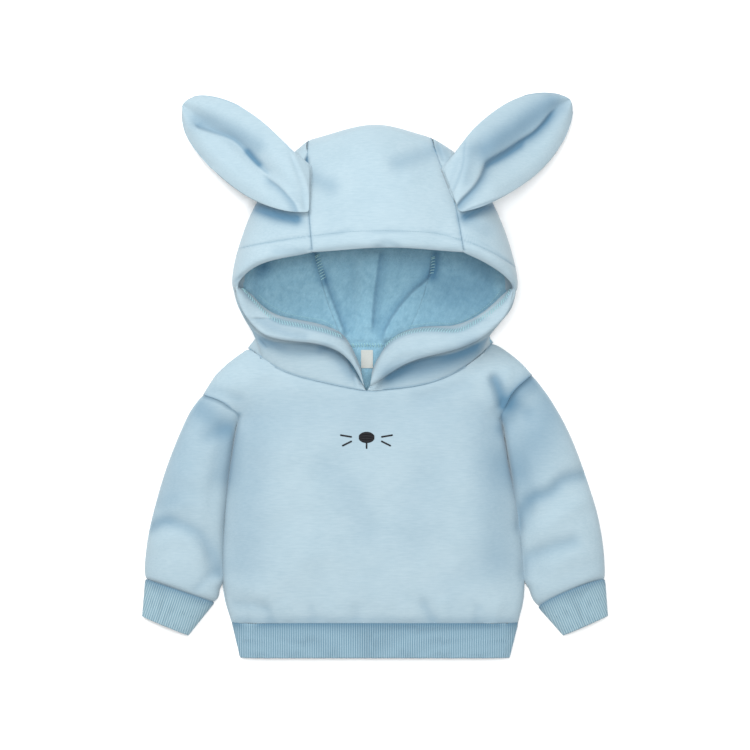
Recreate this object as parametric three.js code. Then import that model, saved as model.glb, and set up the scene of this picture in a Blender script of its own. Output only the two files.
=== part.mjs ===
import * as THREE from 'three';

// A toddler hoodie with two long ears, laid on its back. Sizes are in millimetres.
// X runs across the chest, Y from the hem to the ears, Z up from the table.
// Places are written as they are seen from straight above, in picture units, with a height in millimetres.
const UNIT = 1.1;
const MIDDLE = 375;
const EYE_HEIGHT = 3400;

const CLOTH = 2.2;
const HEM_CLOTH = 4.2;
const HEM_DEPTH = 20;
const RIB_CLOTH = 2.4;
const RIB_RAISE = 0.5;
const RIB_PITCH = 2.5;
const SEAM_GAP = 0.6;
const ARM_GAP = 0.9;
const UNDERARM = 18;
const UNDERARM_EASE = 4;
const NECK_GAP = 0.9;
const SIDE_SEAM = 3.4;
const SIDE_ROUND = 60;
const SHOULDER_ROUND = 40;
const UNDER_ROUND = 7;
const ON_SEAM = 0.9;
const EAR_CLOTH = 2;
const EAR_GAP = 1.3;
const EAR_PUFF = 9;
const EAR_VALLEY = 11;
const EAR_UNDER_BASE = 0.9;
const EAR_UNDER_TIP = 3.5;
const VALLEY_WIDTH = 0.17;
const HOOD_FLAT_SHARE = 0.35;
const LIP_DEPTH = 20;
const LEG_RISE = 3;
const TUBE_ROUND_SHARE = 0.55;
const OUTLINE_STEPS = 30;

const COLOURS = {
  jersey: 0xb9d7e4,
  ribbing: 0x8fb4c8,
  label: 0xf2f2ee,
};

const at = (x, y, height = 0) => {
  const nearer = UNIT * (1 - height / EYE_HEIGHT);
  return new THREE.Vector3((x - MIDDLE) * nearer, (MIDDLE - y) * nearer, height);
};

const mix = (a, b, share) => a + (b - a) * share;

const between = (a, b, share) => a.clone().lerp(b, share);

// A smooth line through rows of picture x, picture y and height, cut into equal steps
const line = (rows, steps) => {
  const curve = new THREE.CatmullRomCurve3(rows.map((row) => at(...row)), false, 'centripetal');
  return curve.getSpacedPoints(steps);
};

const distanceTo = (path, x, y) => {
  let nearest = Infinity;
  for (let i = 0; i + 1 < path.length; i += 1) {
    const a = path[i];
    const b = path[i + 1];
    const dx = b.x - a.x;
    const dy = b.y - a.y;
    const share = ((x - a.x) * dx + (y - a.y) * dy) / (dx * dx + dy * dy);
    const held = Math.min(1, Math.max(0, share));
    nearest = Math.min(nearest, Math.hypot(x - a.x - held * dx, y - a.y - held * dy));
  }
  return nearest;
};

// A quarter round that starts upright at an edge and is level one radius in
const roundOver = (distance, radius) => {
  const share = Math.min(1, distance / radius);
  return Math.sqrt(Math.max(0, 1 - (1 - share) ** 2));
};

// Outlines of the body, hem to neck, seen from above
const SIDE_LEFT = [
  [232, 622], [225, 608], [222.5, 590], [222, 567], [223, 525], [227, 483], [233, 441], [238, 418],
];
const SIDE_RIGHT = [
  [518, 622], [524, 606], [526, 590], [523, 561], [520, 525], [514, 487], [507, 454], [502, 420],
];
const ARMHOLE_LEFT = [[238, 418], [231, 407], [221, 400], [212, 397], [203, 394]];
const ARMHOLE_RIGHT = [[502, 420], [505, 405], [513, 390], [522, 382], [532, 374]];
const SHOULDER_LEFT = [[203, 394], [211, 380], [222, 367.5], [235, 357], [247, 349]];
const SHOULDER_RIGHT = [[532, 374], [524, 364.5], [514, 356], [504, 349], [494, 343]];
const FRONT_NECK_LEFT = [[247, 349], [265, 361], [287, 373], [322, 382.5], [345, 387.5], [367, 391.5]];
const FRONT_NECK_RIGHT = [
  [367, 391.5], [384, 390], [406, 388], [428, 384], [450, 376], [467, 366], [482, 354], [494, 343],
];
const BACK_NECK = [
  [247, 349], [285, 350], [320, 348], [345, 347], [374, 346.5], [402, 347],
  [430, 347], [460, 347], [494, 343],
];

// Loft of the front over the table, row by row: picture y and height
const FRONT_LOFT = [[622, 13], [590, 19], [530, 22], [450, 23], [400, 21], [345, 17]];

const sideLeft = line(SIDE_LEFT, OUTLINE_STEPS);
const sideRight = line(SIDE_RIGHT, OUTLINE_STEPS);
const shoulderLeft = line([[160, 470], ...SHOULDER_LEFT], OUTLINE_STEPS);
const shoulderRight = line([[584, 470], [560, 415], ...SHOULDER_RIGHT], OUTLINE_STEPS);

const loftAt = (y) => {
  const rows = FRONT_LOFT.map(([row, height]) => [(MIDDLE - row) * UNIT, height]);
  const last = rows.length - 1;
  if (y <= rows[0][0]) return rows[0][1];
  if (y >= rows[last][0]) return rows[last][1];
  const next = rows.findIndex(([row]) => row > y);
  const [low, from] = rows[next - 1];
  const [high, to] = rows[next];
  const share = (y - low) / (high - low);
  return mix(from, to, share * share * (3 - 2 * share));
};

const riseAt = (x, y) => roundOver(distanceTo(sideLeft, x, y), SIDE_ROUND)
  * roundOver(distanceTo(sideRight, x, y), SIDE_ROUND)
  * roundOver(distanceTo(shoulderLeft, x, y), SHOULDER_ROUND)
  * roundOver(distanceTo(shoulderRight, x, y), SHOULDER_ROUND);

const frontHeight = (x, y) => SIDE_SEAM + loftAt(y) * riseAt(x, y);

const backHeight = (x, y) => {
  const edges = [sideLeft, sideRight, shoulderLeft, shoulderRight];
  const nearest = Math.min(...edges.map((edge) => distanceTo(edge, x, y)));
  return (SIDE_SEAM - SEAM_GAP) * (1 - roundOver(nearest, UNDER_ROUND));
};

const ALL_WAYS = new THREE.Vector3(1, 1, 1);
const SEAM_LEVEL = new THREE.Vector3(1, 1, 0);
const SEAM_UPRIGHT = new THREE.Vector3(0, 1, 1);

// One cloth piece: its outer nets are joined into a skin, and the skin is given a wall on its inner side
const clothPiece = (name, nets, thicknessAt, colour, level = () => ALL_WAYS) => {
  const points = [];
  const known = new Map();
  const index = (point) => {
    const key = [point.x, point.y, point.z].map((value) => value.toFixed(3)).join();
    if (!known.has(key)) {
      known.set(key, points.length);
      points.push(point);
    }
    return known.get(key);
  };
  const skin = [];
  for (const { rows, turned } of nets) {
    for (let i = 0; i + 1 < rows.length; i += 1) {
      for (let j = 0; j + 1 < rows[i].length; j += 1) {
        const corners = [rows[i][j], rows[i][j + 1], rows[i + 1][j + 1], rows[i + 1][j]].map(index);
        const ordered = turned ? corners.reverse() : corners;
        const [a, b, c, d] = ordered;
        for (const face of [[a, b, c], [a, c, d]]) {
          if (new Set(face).size === 3) skin.push(face);
        }
      }
    }
  }
  const normals = points.map(() => new THREE.Vector3());
  for (const [a, b, c] of skin) {
    const across = points[b].clone().sub(points[a]).cross(points[c].clone().sub(points[a]));
    for (const corner of [a, b, c]) normals[corner].add(across);
  }
  const inner = points.map((point, i) => {
    const normal = normals[i].multiply(level(point));
    return point.clone().addScaledVector(normal.normalize(), -thicknessAt(point));
  });
  const seen = new Set(skin.flatMap(([a, b, c]) => [`${a},${b}`, `${b},${c}`, `${c},${a}`]));
  const faces = [];
  for (const [a, b, c] of skin) {
    faces.push([a, b, c], [a + points.length, c + points.length, b + points.length]);
    for (const [from, to] of [[a, b], [b, c], [c, a]]) {
      if (!seen.has(`${to},${from}`)) {
        faces.push([from, from + points.length, to + points.length], [from, to + points.length, to]);
      }
    }
  }
  return solid(name, [...points, ...inner], faces, colour);
};

const solid = (name, points, faces, colour) => {
  const geometry = new THREE.BufferGeometry();
  geometry.setAttribute('position', new THREE.Float32BufferAttribute(points.flatMap((p) => p.toArray()), 3));
  geometry.setIndex(faces.flat());
  const flat = geometry.toNonIndexed();
  flat.computeVertexNormals();
  const material = new THREE.MeshStandardMaterial({ color: colour, roughness: 0.9, metalness: 0 });
  const mesh = new THREE.Mesh(flat, material);
  mesh.name = name;
  return mesh;
};

// Shares of the way across a piece, close together where its edges round over
const ACROSS = [0, 0.005, 0.018, 0.04, 0.075, 0.12, 0.175, 0.235, 0.3, 0.35, 0.4, 0.45, 0.5];
const acrossShares = [...ACROSS, ...ACROSS.slice(0, -1).reverse().map((share) => 1 - share)];
const TUBE = [0, 0.025, 0.09, 0.2, 0.34, 0.5, 0.66, 0.8, 0.91, 0.975, 1];
const UP_THE_BODY = [0, 0.12, 0.26, 0.41, 0.56, 0.7, 0.82, 0.91, 0.97, 1];
const SHOULDER_STEPS = [0, 0.3, 0.65, 0.87, 1];
const NECK_STEPS = 8;

const evenly = (steps) => Array.from({ length: steps + 1 }, (_, i) => i / steps);

const smooth = (points) => new THREE.CatmullRomCurve3(points, false, 'centripetal');

const places = (rows) => rows.map((row) => at(...row));

const sample = (rows, shares) => {
  const curve = smooth(places(rows));
  return shares.map((share) => curve.getPointAt(share));
};

const straight = (from, to, shares) => shares.map((share) => between(from, to, share));

// A four-sided net between its bottom, top, left and right lines, whose rows and columns lie at uneven shares
const net = (bottom, top, left, right, ups, alongs) => left.map((leftPoint, i) => bottom.map((low, j) => {
  const sides = between(leftPoint, right[i], alongs[j]);
  const ends = between(low, top[j], ups[i]);
  const corners = between(
    between(bottom[0], bottom[bottom.length - 1], alongs[j]),
    between(top[0], top[top.length - 1], alongs[j]),
    ups[i],
  );
  return sides.add(ends).sub(corners);
}));

const withHeight = (rows, height) => rows.map((row) => row.map((p) => p.setZ(height(p.x, p.y))));

// The front and the back are each a lower net up to the arms and a yoke net up to shoulders and neck
const bodyNets = (neck, height) => {
  const left = sample(SIDE_LEFT, UP_THE_BODY);
  const right = sample(SIDE_RIGHT, UP_THE_BODY);
  const hem = straight(left[0], right[0], acrossShares);
  const chest = straight(left[left.length - 1], right[right.length - 1], acrossShares);
  const armLeft = sample(ARMHOLE_LEFT, TUBE);
  const armRight = sample(ARMHOLE_RIGHT, TUBE);
  const top = [
    ...sample(SHOULDER_LEFT, SHOULDER_STEPS).slice(0, -1),
    ...neck,
    ...sample(SHOULDER_RIGHT, SHOULDER_STEPS).reverse().slice(1),
  ];
  const lower = net(hem, chest, left, right, UP_THE_BODY, acrossShares);
  const yoke = net(chest, top, armLeft, armRight, TUBE, acrossShares);
  return [withHeight(lower, height), withHeight(yoke, height)];
};

// Where two pieces meet at a seam their walls go in from it the same way
const levelAtSides = (point) => {
  const edges = [sideLeft, sideRight, shoulderLeft, shoulderRight];
  return edges.some((edge) => distanceTo(edge, point.x, point.y) < ON_SEAM) ? SEAM_LEVEL : ALL_WAYS;
};

const frontNeck = [
  ...sample(FRONT_NECK_LEFT, evenly(NECK_STEPS)),
  ...sample(FRONT_NECK_RIGHT, evenly(NECK_STEPS)).slice(1),
];
const backNeck = sample(BACK_NECK, evenly(2 * NECK_STEPS));

const [frontLower, frontYoke] = bodyNets(frontNeck, frontHeight);
const [backLower, backYoke] = bodyNets(backNeck, backHeight);

// The largest folds of the sleeves: from x and y, to x and y, half width, depth
const FOLDS = [
  [523, 517, 584, 474, 8, 3.2],
  [527, 566, 560, 540, 8, 1.6],
  [150, 528, 190, 516, 7, 1.2],
  [186, 528, 216, 574, 8, 1.8],
  [225, 425, 205, 436, 9, 1.6],
];
const folds = FOLDS.map(([fromX, fromY, toX, toY, width, depth]) => ({
  path: [at(fromX, fromY), at(toX, toY)], width: width * UNIT, depth,
}));
const foldDepth = (point) => folds.reduce((sum, { path, width, depth }) => {
  const away = distanceTo(path, point.x, point.y) / width;
  return sum + depth * Math.exp(-away * away);
}, 0);

// A flattened tube seen from above as the strip between an inner and an outer place
const overTube = (inner, outer, height, bow) => {
  const width = inner.distanceTo(outer);
  const round = Math.min(SHOULDER_ROUND, width * TUBE_ROUND_SHARE);
  const way = outer.clone().sub(inner);
  const upTheTube = new THREE.Vector3(-way.y, way.x, 0).multiplyScalar(Math.sign(-way.x) / width);
  return TUBE.map((share) => {
    const rise = roundOver(share * width, round) * roundOver((1 - share) * width, round);
    const point = between(inner, outer, share).addScaledVector(upTheTube, -bow * UNIT * rise);
    return point.setZ(SIDE_SEAM + (height - foldDepth(point)) * rise);
  });
};

const underTube = (inner, outer) => {
  const width = inner.distanceTo(outer);
  return TUBE.map((share) => between(inner, outer, share).setZ(
    (SIDE_SEAM - SEAM_GAP) * (1 - roundOver(Math.min(share, 1 - share) * width, UNDER_ROUND)),
  ));
};

// One loop round a tube: over it from the inner to the outer edge, then back beneath
const loop = (over, under) => {
  const low = under.slice(1, -1).reverse();
  return [...over, ...low, over[0]];
};

const tubeLoop = ([innerX, innerY, outerX, outerY, height, bow]) => {
  const inner = at(innerX, innerY);
  const outer = at(outerX, outerY);
  return loop(overTube(inner, outer, height, bow), underTube(inner, outer));
};

const stepTowards = (from, to, length) => {
  const way = to.clone().sub(from);
  return from.clone().addScaledVector(way.normalize(), length);
};

const SLEEVE_ROWS = 17;

// Rows of a table read at even shares of its length, each column smoothly
const rowsBetween = (table, count) => {
  const columns = table[0].map((_, column) => new THREE.CatmullRomCurve3(
    table.map((row, i) => new THREE.Vector3(row[column], i, 0)), false, 'catmullrom',
  ));
  return Array.from({ length: count }, (_, i) => columns.map((curve) => curve.getPoint(i / (count - 1)).x));
};

const sleeveNet = (sections, over, under) => {
  const loops = rowsBetween(sections, SLEEVE_ROWS).map(tubeLoop);
  const armhole = loop(over, under).map((point, j) => {
    const nearBody = Math.max(0, 1 - point.distanceTo(over[0]) / UNDERARM);
    return stepTowards(point, loops[0][j], ARM_GAP + nearBody * UNDERARM_EASE);
  });
  return [armhole, ...loops];
};

// Sleeves from armhole to cuff: inner edge x and y, outer edge x and y, height over the side seam,
// and how far the middle bows up the sleeve
const SLEEVE_LEFT = [
  [233, 425.5, 190.7, 409, 14, 0],
  [230.4, 444, 178, 437, 20, 0],
  [227, 470, 165.3, 470, 23, 0],
  [223.8, 500, 155.8, 502, 23, 0],
  [221.3, 532, 148.2, 533, 22, 0],
  [220.5, 560, 144.8, 560, 21, 0],
  [220.8, 583, 144.4, 572, 19, 0],
  [219.5, 597, 145, 576.3, 17, 0.5],
  [214.5, 602.2, 146, 578.8, 14, 1],
];
const SLEEVE_RIGHT = [
  [506.4, 427, 547.6, 394, 14, 0],
  [509.3, 446, 563.7, 421, 20, 0],
  [513.5, 472, 576.7, 450, 23, 0],
  [517.6, 500, 588.6, 484, 23, 0],
  [521.8, 530, 597.7, 513, 22, 0],
  [524.8, 558, 603.2, 543, 21, 0],
  [527, 583, 605, 565, 19, 1],
  [531.5, 599, 605.2, 575, 17, 3],
  [538.5, 606.8, 604.6, 579.6, 14, 5],
];

// A ribbed band round a tube end: outer ribs over a plain inside
const ribbedBand = (name, top, bottom) => {
  const rings = [top, bottom].map((section) => smoothLoop(tubeLoop(section)));
  const ribs = Math.round(rings[0].getLength() / RIB_PITCH);
  const axis = middleOf(rings[0]).sub(middleOf(rings[1])).normalize();
  const points = [];
  for (const ring of rings) {
    for (let i = 0; i < 2 * ribs; i += 1) {
      const share = i / (2 * ribs);
      points.push(ring.getPointAt(share).addScaledVector(outwards(ring, share, axis), (i % 2) * RIB_RAISE));
    }
  }
  for (const ring of rings) {
    for (let i = 0; i < ribs; i += 1) {
      const share = i / ribs;
      points.push(ring.getPointAt(share).addScaledVector(outwards(ring, share, axis), -RIB_CLOTH));
    }
  }
  const lowest = Math.min(...points.map((point) => point.z));
  for (const point of points) point.z -= lowest;
  const topOut = (i) => i % (2 * ribs);
  const lowOut = (i) => 2 * ribs + (i % (2 * ribs));
  const topIn = (i) => 4 * ribs + (i % ribs);
  const lowIn = (i) => 5 * ribs + (i % ribs);
  const faces = [];
  for (let i = 0; i < ribs; i += 1) {
    const start = 2 * i;
    for (const column of [start, start + 1]) {
      faces.push(
        [topOut(column), lowOut(column + 1), lowOut(column)],
        [topOut(column), topOut(column + 1), lowOut(column + 1)],
      );
    }
    faces.push([topIn(i), lowIn(i), lowIn(i + 1)], [topIn(i), lowIn(i + 1), topIn(i + 1)]);
    faces.push(
      [topIn(i), topOut(start + 1), topOut(start)],
      [topIn(i), topIn(i + 1), topOut(start + 1)],
      [topIn(i + 1), topOut(start + 2), topOut(start + 1)],
      [lowIn(i), lowOut(start), lowOut(start + 1)],
      [lowIn(i), lowOut(start + 1), lowIn(i + 1)],
      [lowIn(i + 1), lowOut(start + 1), lowOut(start + 2)],
    );
  }
  return solid(name, points, faces, COLOURS.ribbing);
};

const smoothLoop = (points) => new THREE.CatmullRomCurve3(points.slice(0, -1), true, 'centripetal');

const middleOf = (ring) => {
  const points = ring.getSpacedPoints(OUTLINE_STEPS).slice(1);
  return points.reduce((sum, point) => sum.add(point), new THREE.Vector3()).divideScalar(points.length);
};

const outwards = (ring, share, axis) => axis.clone().cross(ring.getTangentAt(share)).normalize();

// Ribbed bands: right edge x and y, left edge x and y, height over the side seam, bow of the middle
const HEM_TOP = [518, 622.7, 232, 622.7, 13, 0];
const HEM_BOTTOM = [509.5, 657.3, 240.5, 657.3, 9, 0];
const CUFF_LEFT_TOP = [214.2, 602.9, 145.7, 579.5, 14, 1];
const CUFF_LEFT_BOTTOM = [188.5, 635, 142.6, 616, 10, 0];
const CUFF_RIGHT_TOP = [604.9, 580.3, 538.8, 607.5, 14, 5];
const CUFF_RIGHT_BOTTOM = [607.4, 615.5, 563, 635, 10, 0];

// Middle strip of the hood, from the brim over the crown and along the table to the back of the neck:
// left seam x, y, height; middle x, y, height; right seam x, y, height
const STRIP = [
  [312.6, 253, 97, 389, 248.5, 104, 463.7, 253, 97],
  [310.5, 233, 94, 386, 222, 101, 460.6, 233, 94],
  [309, 213, 88, 382, 195, 95, 457, 210, 88],
  [307.5, 190, 79, 379, 165, 84, 450, 187, 79],
  [307.5, 168, 68, 377, 142, 68, 441, 165, 68],
  [307.5, 150, 54, 376, 128, 50, 434, 146, 54],
  [308, 140.5, 36, 375, 124.2, 34, 431, 137.3, 36],
  [308, 144, 16, 375, 130, 14, 430, 143, 16],
  [309, 160, 4, 375, 148, 2, 430, 160, 4],
  [310, 190, 0, 375, 185, 0, 431, 190, 0],
  [313, 240, 0, 375, 240, 0, 433, 240, 0],
  [325, 293, 0, 375, 295, 0, 424, 293, 0],
  [345, 346, 0, 374, 345.5, 0, 402, 346, 0],
];
const SEAM_LEFT = 0;
const SEAM_MIDDLE = 3;
const SEAM_RIGHT = 6;
const STRIP_COLUMNS = 10;

// Outer outline of each hood side from the crown seam down to the shoulder: x, y, height
const OUTLINE_LEFT = [
  [287, 158, 38], [268, 182, 40], [254, 205, 42], [246, 223, 43], [240.5, 239, 44], [236, 254, 44],
  [233.2, 267, 44], [231.8, 279, 44], [232, 291, 44], [235.5, 306, 41], [249, 322, 31], [258.5, 335.5, 14],
];
const OUTLINE_RIGHT = [
  [458, 153, 38], [478, 176, 40], [494, 203, 42], [502, 222, 43], [508, 238, 44], [512, 252, 44],
  [515.3, 265, 44], [517.6, 278, 44], [518, 291, 44], [514.5, 307, 41], [501.5, 322, 31], [488, 335.5, 14],
];
const TOP_ROWS = 9;
const BRIM_ROWS = 5;

// Front edge of the hood from the strip seam to where it turns back: x, y, height
const BRIM_LEFT = [
  [312.6, 253, 97], [292, 256.5, 95], [272, 260.5, 91], [256, 266, 85], [243, 276, 75], [233.5, 290, 60],
];
const BRIM_RIGHT = [
  [463.7, 253, 97], [477, 258.5, 94], [491, 266, 89], [503, 274, 82], [511.5, 282, 73], [516.5, 291, 60],
];

// The strip is cut where these shares of its rows lie, so the sides meet it point to point
const TOP_STATIONS = [0, 1.25, 2.5, 3.75];
const UNDER_STATIONS = [8, 8.8, 9.4, 9.8, 10.2, 10.5, 10.8, 11, 11.2, 11.4, 11.6, 11.8, 12];
const CROWN_START = 5;
const CROWN_MIDDLE = 6;
const CROWN_END = 7;
const TOP_COLUMNS = 6;
const UNDER_COLUMNS = 8;

// The lip of the lower front edge, section by section towards the point of the neck:
// free edge x, y, height; fold x, y, height
const LIP_LEFT = [
  [239, 307, 56, 247, 296, 52],
  [250, 324, 53, 258, 307, 50],
  [266, 338, 50, 272, 318, 49],
  [290, 341.5, 48, 291, 323, 48],
  [314, 343, 46, 312, 326, 46],
  [336, 349, 43, 333, 332, 43],
  [352, 362, 37, 347, 341, 38],
  [365.5, 389, 28, 361, 376, 31],
];
const LIP_RIGHT = [
  [512, 307, 56, 506, 297, 52],
  [502, 322, 53, 493, 309.5, 50],
  [484, 338, 50, 474, 323, 49],
  [461, 349, 49, 453, 331, 48],
  [437, 354.5, 47, 430, 329.5, 46],
  [414, 360, 44, 408, 332.5, 43],
  [393, 370.5, 38, 387, 344, 38],
  [368.5, 389, 29, 372, 378, 32],
];

const stripPoint = (column, station) => {
  const curve = smooth(STRIP.map((row) => at(...row.slice(column, column + 3))));
  const point = curve.getPoint(station / (STRIP.length - 1));
  return point.setZ(Math.max(0, point.z));
};

const steps = (from, to, count) => evenly(count).map((share) => mix(from, to, share));

const stripStations = [
  ...TOP_STATIONS,
  ...steps(CROWN_START, CROWN_MIDDLE, TOP_COLUMNS),
  ...steps(CROWN_MIDDLE, CROWN_END, UNDER_COLUMNS).slice(1),
  ...UNDER_STATIONS,
];

const stripNet = stripStations.map((station) => smooth([
  stripPoint(SEAM_LEFT, station),
  stripPoint(SEAM_MIDDLE, station),
  stripPoint(SEAM_RIGHT, station),
]).getSpacedPoints(STRIP_COLUMNS));

// Under the hood the cloth is flat on the table and rounds up to the outline
const underRow = (seam, outline) => {
  const flat = seam.clone().setZ(outline.z);
  const far = flat.distanceTo(outline);
  const round = Math.min(far, outline.z + UNDER_ROUND);
  return evenly(UNDER_COLUMNS).map((share) => {
    const turn = Math.max(0, (share - HOOD_FLAT_SHARE) / (1 - HOOD_FLAT_SHARE)) * (Math.PI / 2);
    const level = Math.min(1, share / HOOD_FLAT_SHARE) * (far - round);
    const point = between(flat, outline, (level + round * Math.sin(turn)) / far);
    return point.setZ(mix(seam.z, outline.z, 1 - Math.cos(turn)));
  });
};

// Over the outline the cloth starts upright and rounds over to the seam or the brim
const topRow = (outline, edge) => evenly(TOP_COLUMNS).map((share) => {
  const turn = share * (Math.PI / 2);
  return between(outline, edge, 1 - Math.cos(turn)).setZ(mix(outline.z, edge.z, Math.sin(turn)));
});

const hoodSideNets = (side) => {
  const apart = new THREE.Vector3(side.sign * SEAM_GAP, 0, 0);
  const seamAt = (station) => stripPoint(side.seam, station).add(apart);
  const neckPoint = side.neck[0].clone().setZ(SIDE_SEAM - SEAM_GAP / 2);
  neckPoint.y += 2 * NECK_GAP;
  const outline = [seamAt(CROWN_MIDDLE), ...places(side.outline), neckPoint];
  const underSeams = [CROWN_END, ...UNDER_STATIONS].map(seamAt);
  const brim = sample(side.brim, evenly(BRIM_ROWS)).slice(1);
  const topEdges = [seamAt(CROWN_START), ...[...TOP_STATIONS].reverse().map(seamAt), ...brim];
  const under = outline.map((place, i) => underRow(underSeams[i], place));
  under[0] = steps(CROWN_END, CROWN_MIDDLE, UNDER_COLUMNS).map(seamAt);
  const top = topEdges.map((edge, i) => topRow(outline[i], edge));
  top[0] = steps(CROWN_MIDDLE, CROWN_START, TOP_COLUMNS).map(seamAt);
  const outerColumn = [...outline.slice(TOP_ROWS).reverse(), ...top[TOP_ROWS].slice(1)];
  const lip = side.lip.map(([edgeX, edgeY, edgeZ, foldX, foldY, foldZ], i) => {
    const start = side.neck[i + 1].clone().add(new THREE.Vector3(0, NECK_GAP, 0));
    const below = at(foldX, foldY + 2, foldZ - LIP_DEPTH);
    const turn = at(foldX, foldY - 4, foldZ - LIP_DEPTH / 2);
    const leg = between(start, below, 0.5);
    leg.z += LEG_RISE;
    return smooth([start, leg, below, turn, at(foldX, foldY, foldZ), at(edgeX, edgeY, edgeZ)])
      .getSpacedPoints(outerColumn.length - 1);
  });
  return [
    { rows: under, turned: side.turned },
    { rows: top, turned: side.turned },
    { rows: [outerColumn, ...lip], turned: side.turned },
  ];
};

const heightOnFront = (points) => points.map((p) => p.clone().setZ(frontHeight(p.x, p.y)));
const neckLeft = heightOnFront(frontNeck.slice(0, NECK_STEPS + 1));
const neckRight = heightOnFront(frontNeck.slice(NECK_STEPS).reverse());
const hoodLeft = hoodSideNets({
  sign: -1,
  seam: SEAM_LEFT,
  outline: OUTLINE_LEFT,
  brim: BRIM_LEFT,
  lip: LIP_LEFT,
  neck: neckLeft,
  turned: true,
});
const hoodRight = hoodSideNets({
  sign: 1,
  seam: SEAM_RIGHT,
  outline: OUTLINE_RIGHT,
  brim: BRIM_RIGHT,
  lip: LIP_RIGHT,
  neck: neckRight,
  turned: false,
});

const uprightAtStrip = (point) => {
  const seams = stripNet.flatMap((row) => [row[0], row[STRIP_COLUMNS]]);
  return nearestInSpace(seams, point) < ON_SEAM ? SEAM_UPRIGHT : ALL_WAYS;
};

// The free front edge of the hood, along which the cloth is turned in and doubled
const BRIM_STEPS = 12;
const frontEdge = [...line(BRIM_LEFT, BRIM_STEPS), ...stripNet[0], ...line(BRIM_RIGHT, BRIM_STEPS)];

// Ears from base to tip: upper edge x, y, height; lower edge x, y, height; share across of the valley
const EAR_LEFT = [
  [306, 166, 71.8, 305, 213, 93, 0.85],
  [294, 152.5, 72, 283, 211, 93, 0.68],
  [275.5, 132.5, 58, 252, 200, 68, 0.6],
  [253, 113.5, 42, 224.5, 181, 46, 0.56],
  [226, 99.5, 26, 200.5, 157, 28, 0.53],
  [203, 95, 15, 186, 136, 15, 0.5],
  [190, 97.4, 9, 181.6, 119, 9, 0.5],
  [183.6, 102.6, 8, 181.9, 107.5, 8, 0.5],
];
const EAR_RIGHT = [
  [442, 168, 73.5, 459, 213, 94.8, 0.85],
  [455, 152.5, 74.5, 482, 207, 96, 0.68],
  [469, 132.5, 61, 508, 195, 72, 0.6],
  [490, 113.5, 42, 534.5, 177, 46, 0.56],
  [513, 99, 26, 556, 154, 28, 0.53],
  [537, 92.5, 15, 569, 129, 15, 0.5],
  [558, 93.5, 9, 573.2, 112, 9, 0.5],
  [568.5, 97.4, 8, 572.2, 102.5, 8, 0.5],
];
const EAR_ROWS = 14;
const EAR_COLUMNS = 8;

const earNet = (rows, over) => {
  const upper = smooth(rows.map((row) => at(...row.slice(0, 3))));
  const lower = smooth(rows.map((row) => at(...row.slice(3, 6))));
  return evenly(EAR_ROWS).map((along) => {
    const from = upper.getPoint(along);
    const to = lower.getPoint(along);
    const row = Math.min(rows.length - 2, Math.floor(along * (rows.length - 1)));
    const valley = mix(rows[row][6], rows[row + 1][6], along * (rows.length - 1) - row);
    const fullness = Math.sin(Math.PI * mix(0.16, 0.92, along));
    const under = mix(EAR_UNDER_BASE, EAR_UNDER_TIP, along);
    return evenly(EAR_COLUMNS).map((share) => {
      const arch = 4 * share * (1 - share);
      const dip = arch * Math.exp(-(((share - valley) / VALLEY_WIDTH) ** 2));
      const puff = over ? EAR_PUFF * arch - EAR_VALLEY * dip : -under * (arch + dip);
      const wall = (EAR_GAP / 2 + EAR_CLOTH) * (over ? 1 : -1);
      const point = between(from, to, share);
      return point.setZ(point.z + wall + puff * fullness);
    });
  });
};

// A blank label sewn inside the back of the neck
const LABEL = { x: 367, y: 359, width: 13, length: 20, thick: 0.6 };
const labelBox = new THREE.BoxGeometry(LABEL.width, LABEL.length, LABEL.thick).toNonIndexed();
labelBox.translate(...at(LABEL.x, LABEL.y, CLOTH + SEAM_GAP + LABEL.thick / 2).toArray());

const plain = () => CLOTH;
const hemmed = (point) => {
  const near = nearestInSpace(frontEdge, point) < HEM_DEPTH;
  return near ? HEM_CLOTH : CLOTH;
};

const nearestInSpace = (path, point) => Math.min(...path.map((place) => place.distanceTo(point)));

const garment = new THREE.Group();
garment.name = 'toddler_hoodie';

const jersey = (name, nets, thickness = plain, level = undefined) => garment.add(
  clothPiece(name, nets, thickness, COLOURS.jersey, level),
);

jersey('front_panel', [{ rows: frontLower }, { rows: frontYoke }], plain, levelAtSides);
const backNets = [{ rows: backLower, turned: true }, { rows: backYoke, turned: true }];
jersey('back_panel', backNets, plain, levelAtSides);

const columnOf = (rows, j) => rows.map((row) => row[j]);
const last = acrossShares.length - 1;
const sleeveLeft = sleeveNet(SLEEVE_LEFT, columnOf(frontYoke, 0), columnOf(backYoke, 0));
const sleeveRight = sleeveNet(SLEEVE_RIGHT, columnOf(frontYoke, last), columnOf(backYoke, last));
jersey('sleeve_left', [{ rows: sleeveLeft }]);
jersey('sleeve_right', [{ rows: sleeveRight, turned: true }]);

jersey('hood_middle', [{ rows: stripNet }], hemmed, uprightAtStrip);
jersey('hood_left', hoodLeft, hemmed, uprightAtStrip);
jersey('hood_right', hoodRight, hemmed, uprightAtStrip);

const earCloth = () => EAR_CLOTH;
jersey('ear_left_front', [{ rows: earNet(EAR_LEFT, true), turned: true }], earCloth);
jersey('ear_left_back', [{ rows: earNet(EAR_LEFT, false) }], earCloth);
jersey('ear_right_front', [{ rows: earNet(EAR_RIGHT, true) }], earCloth);
jersey('ear_right_back', [{ rows: earNet(EAR_RIGHT, false), turned: true }], earCloth);

garment.add(ribbedBand('hem_band', HEM_TOP, HEM_BOTTOM));
garment.add(ribbedBand('cuff_left', CUFF_LEFT_TOP, CUFF_LEFT_BOTTOM));
garment.add(ribbedBand('cuff_right', CUFF_RIGHT_TOP, CUFF_RIGHT_BOTTOM));

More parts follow.
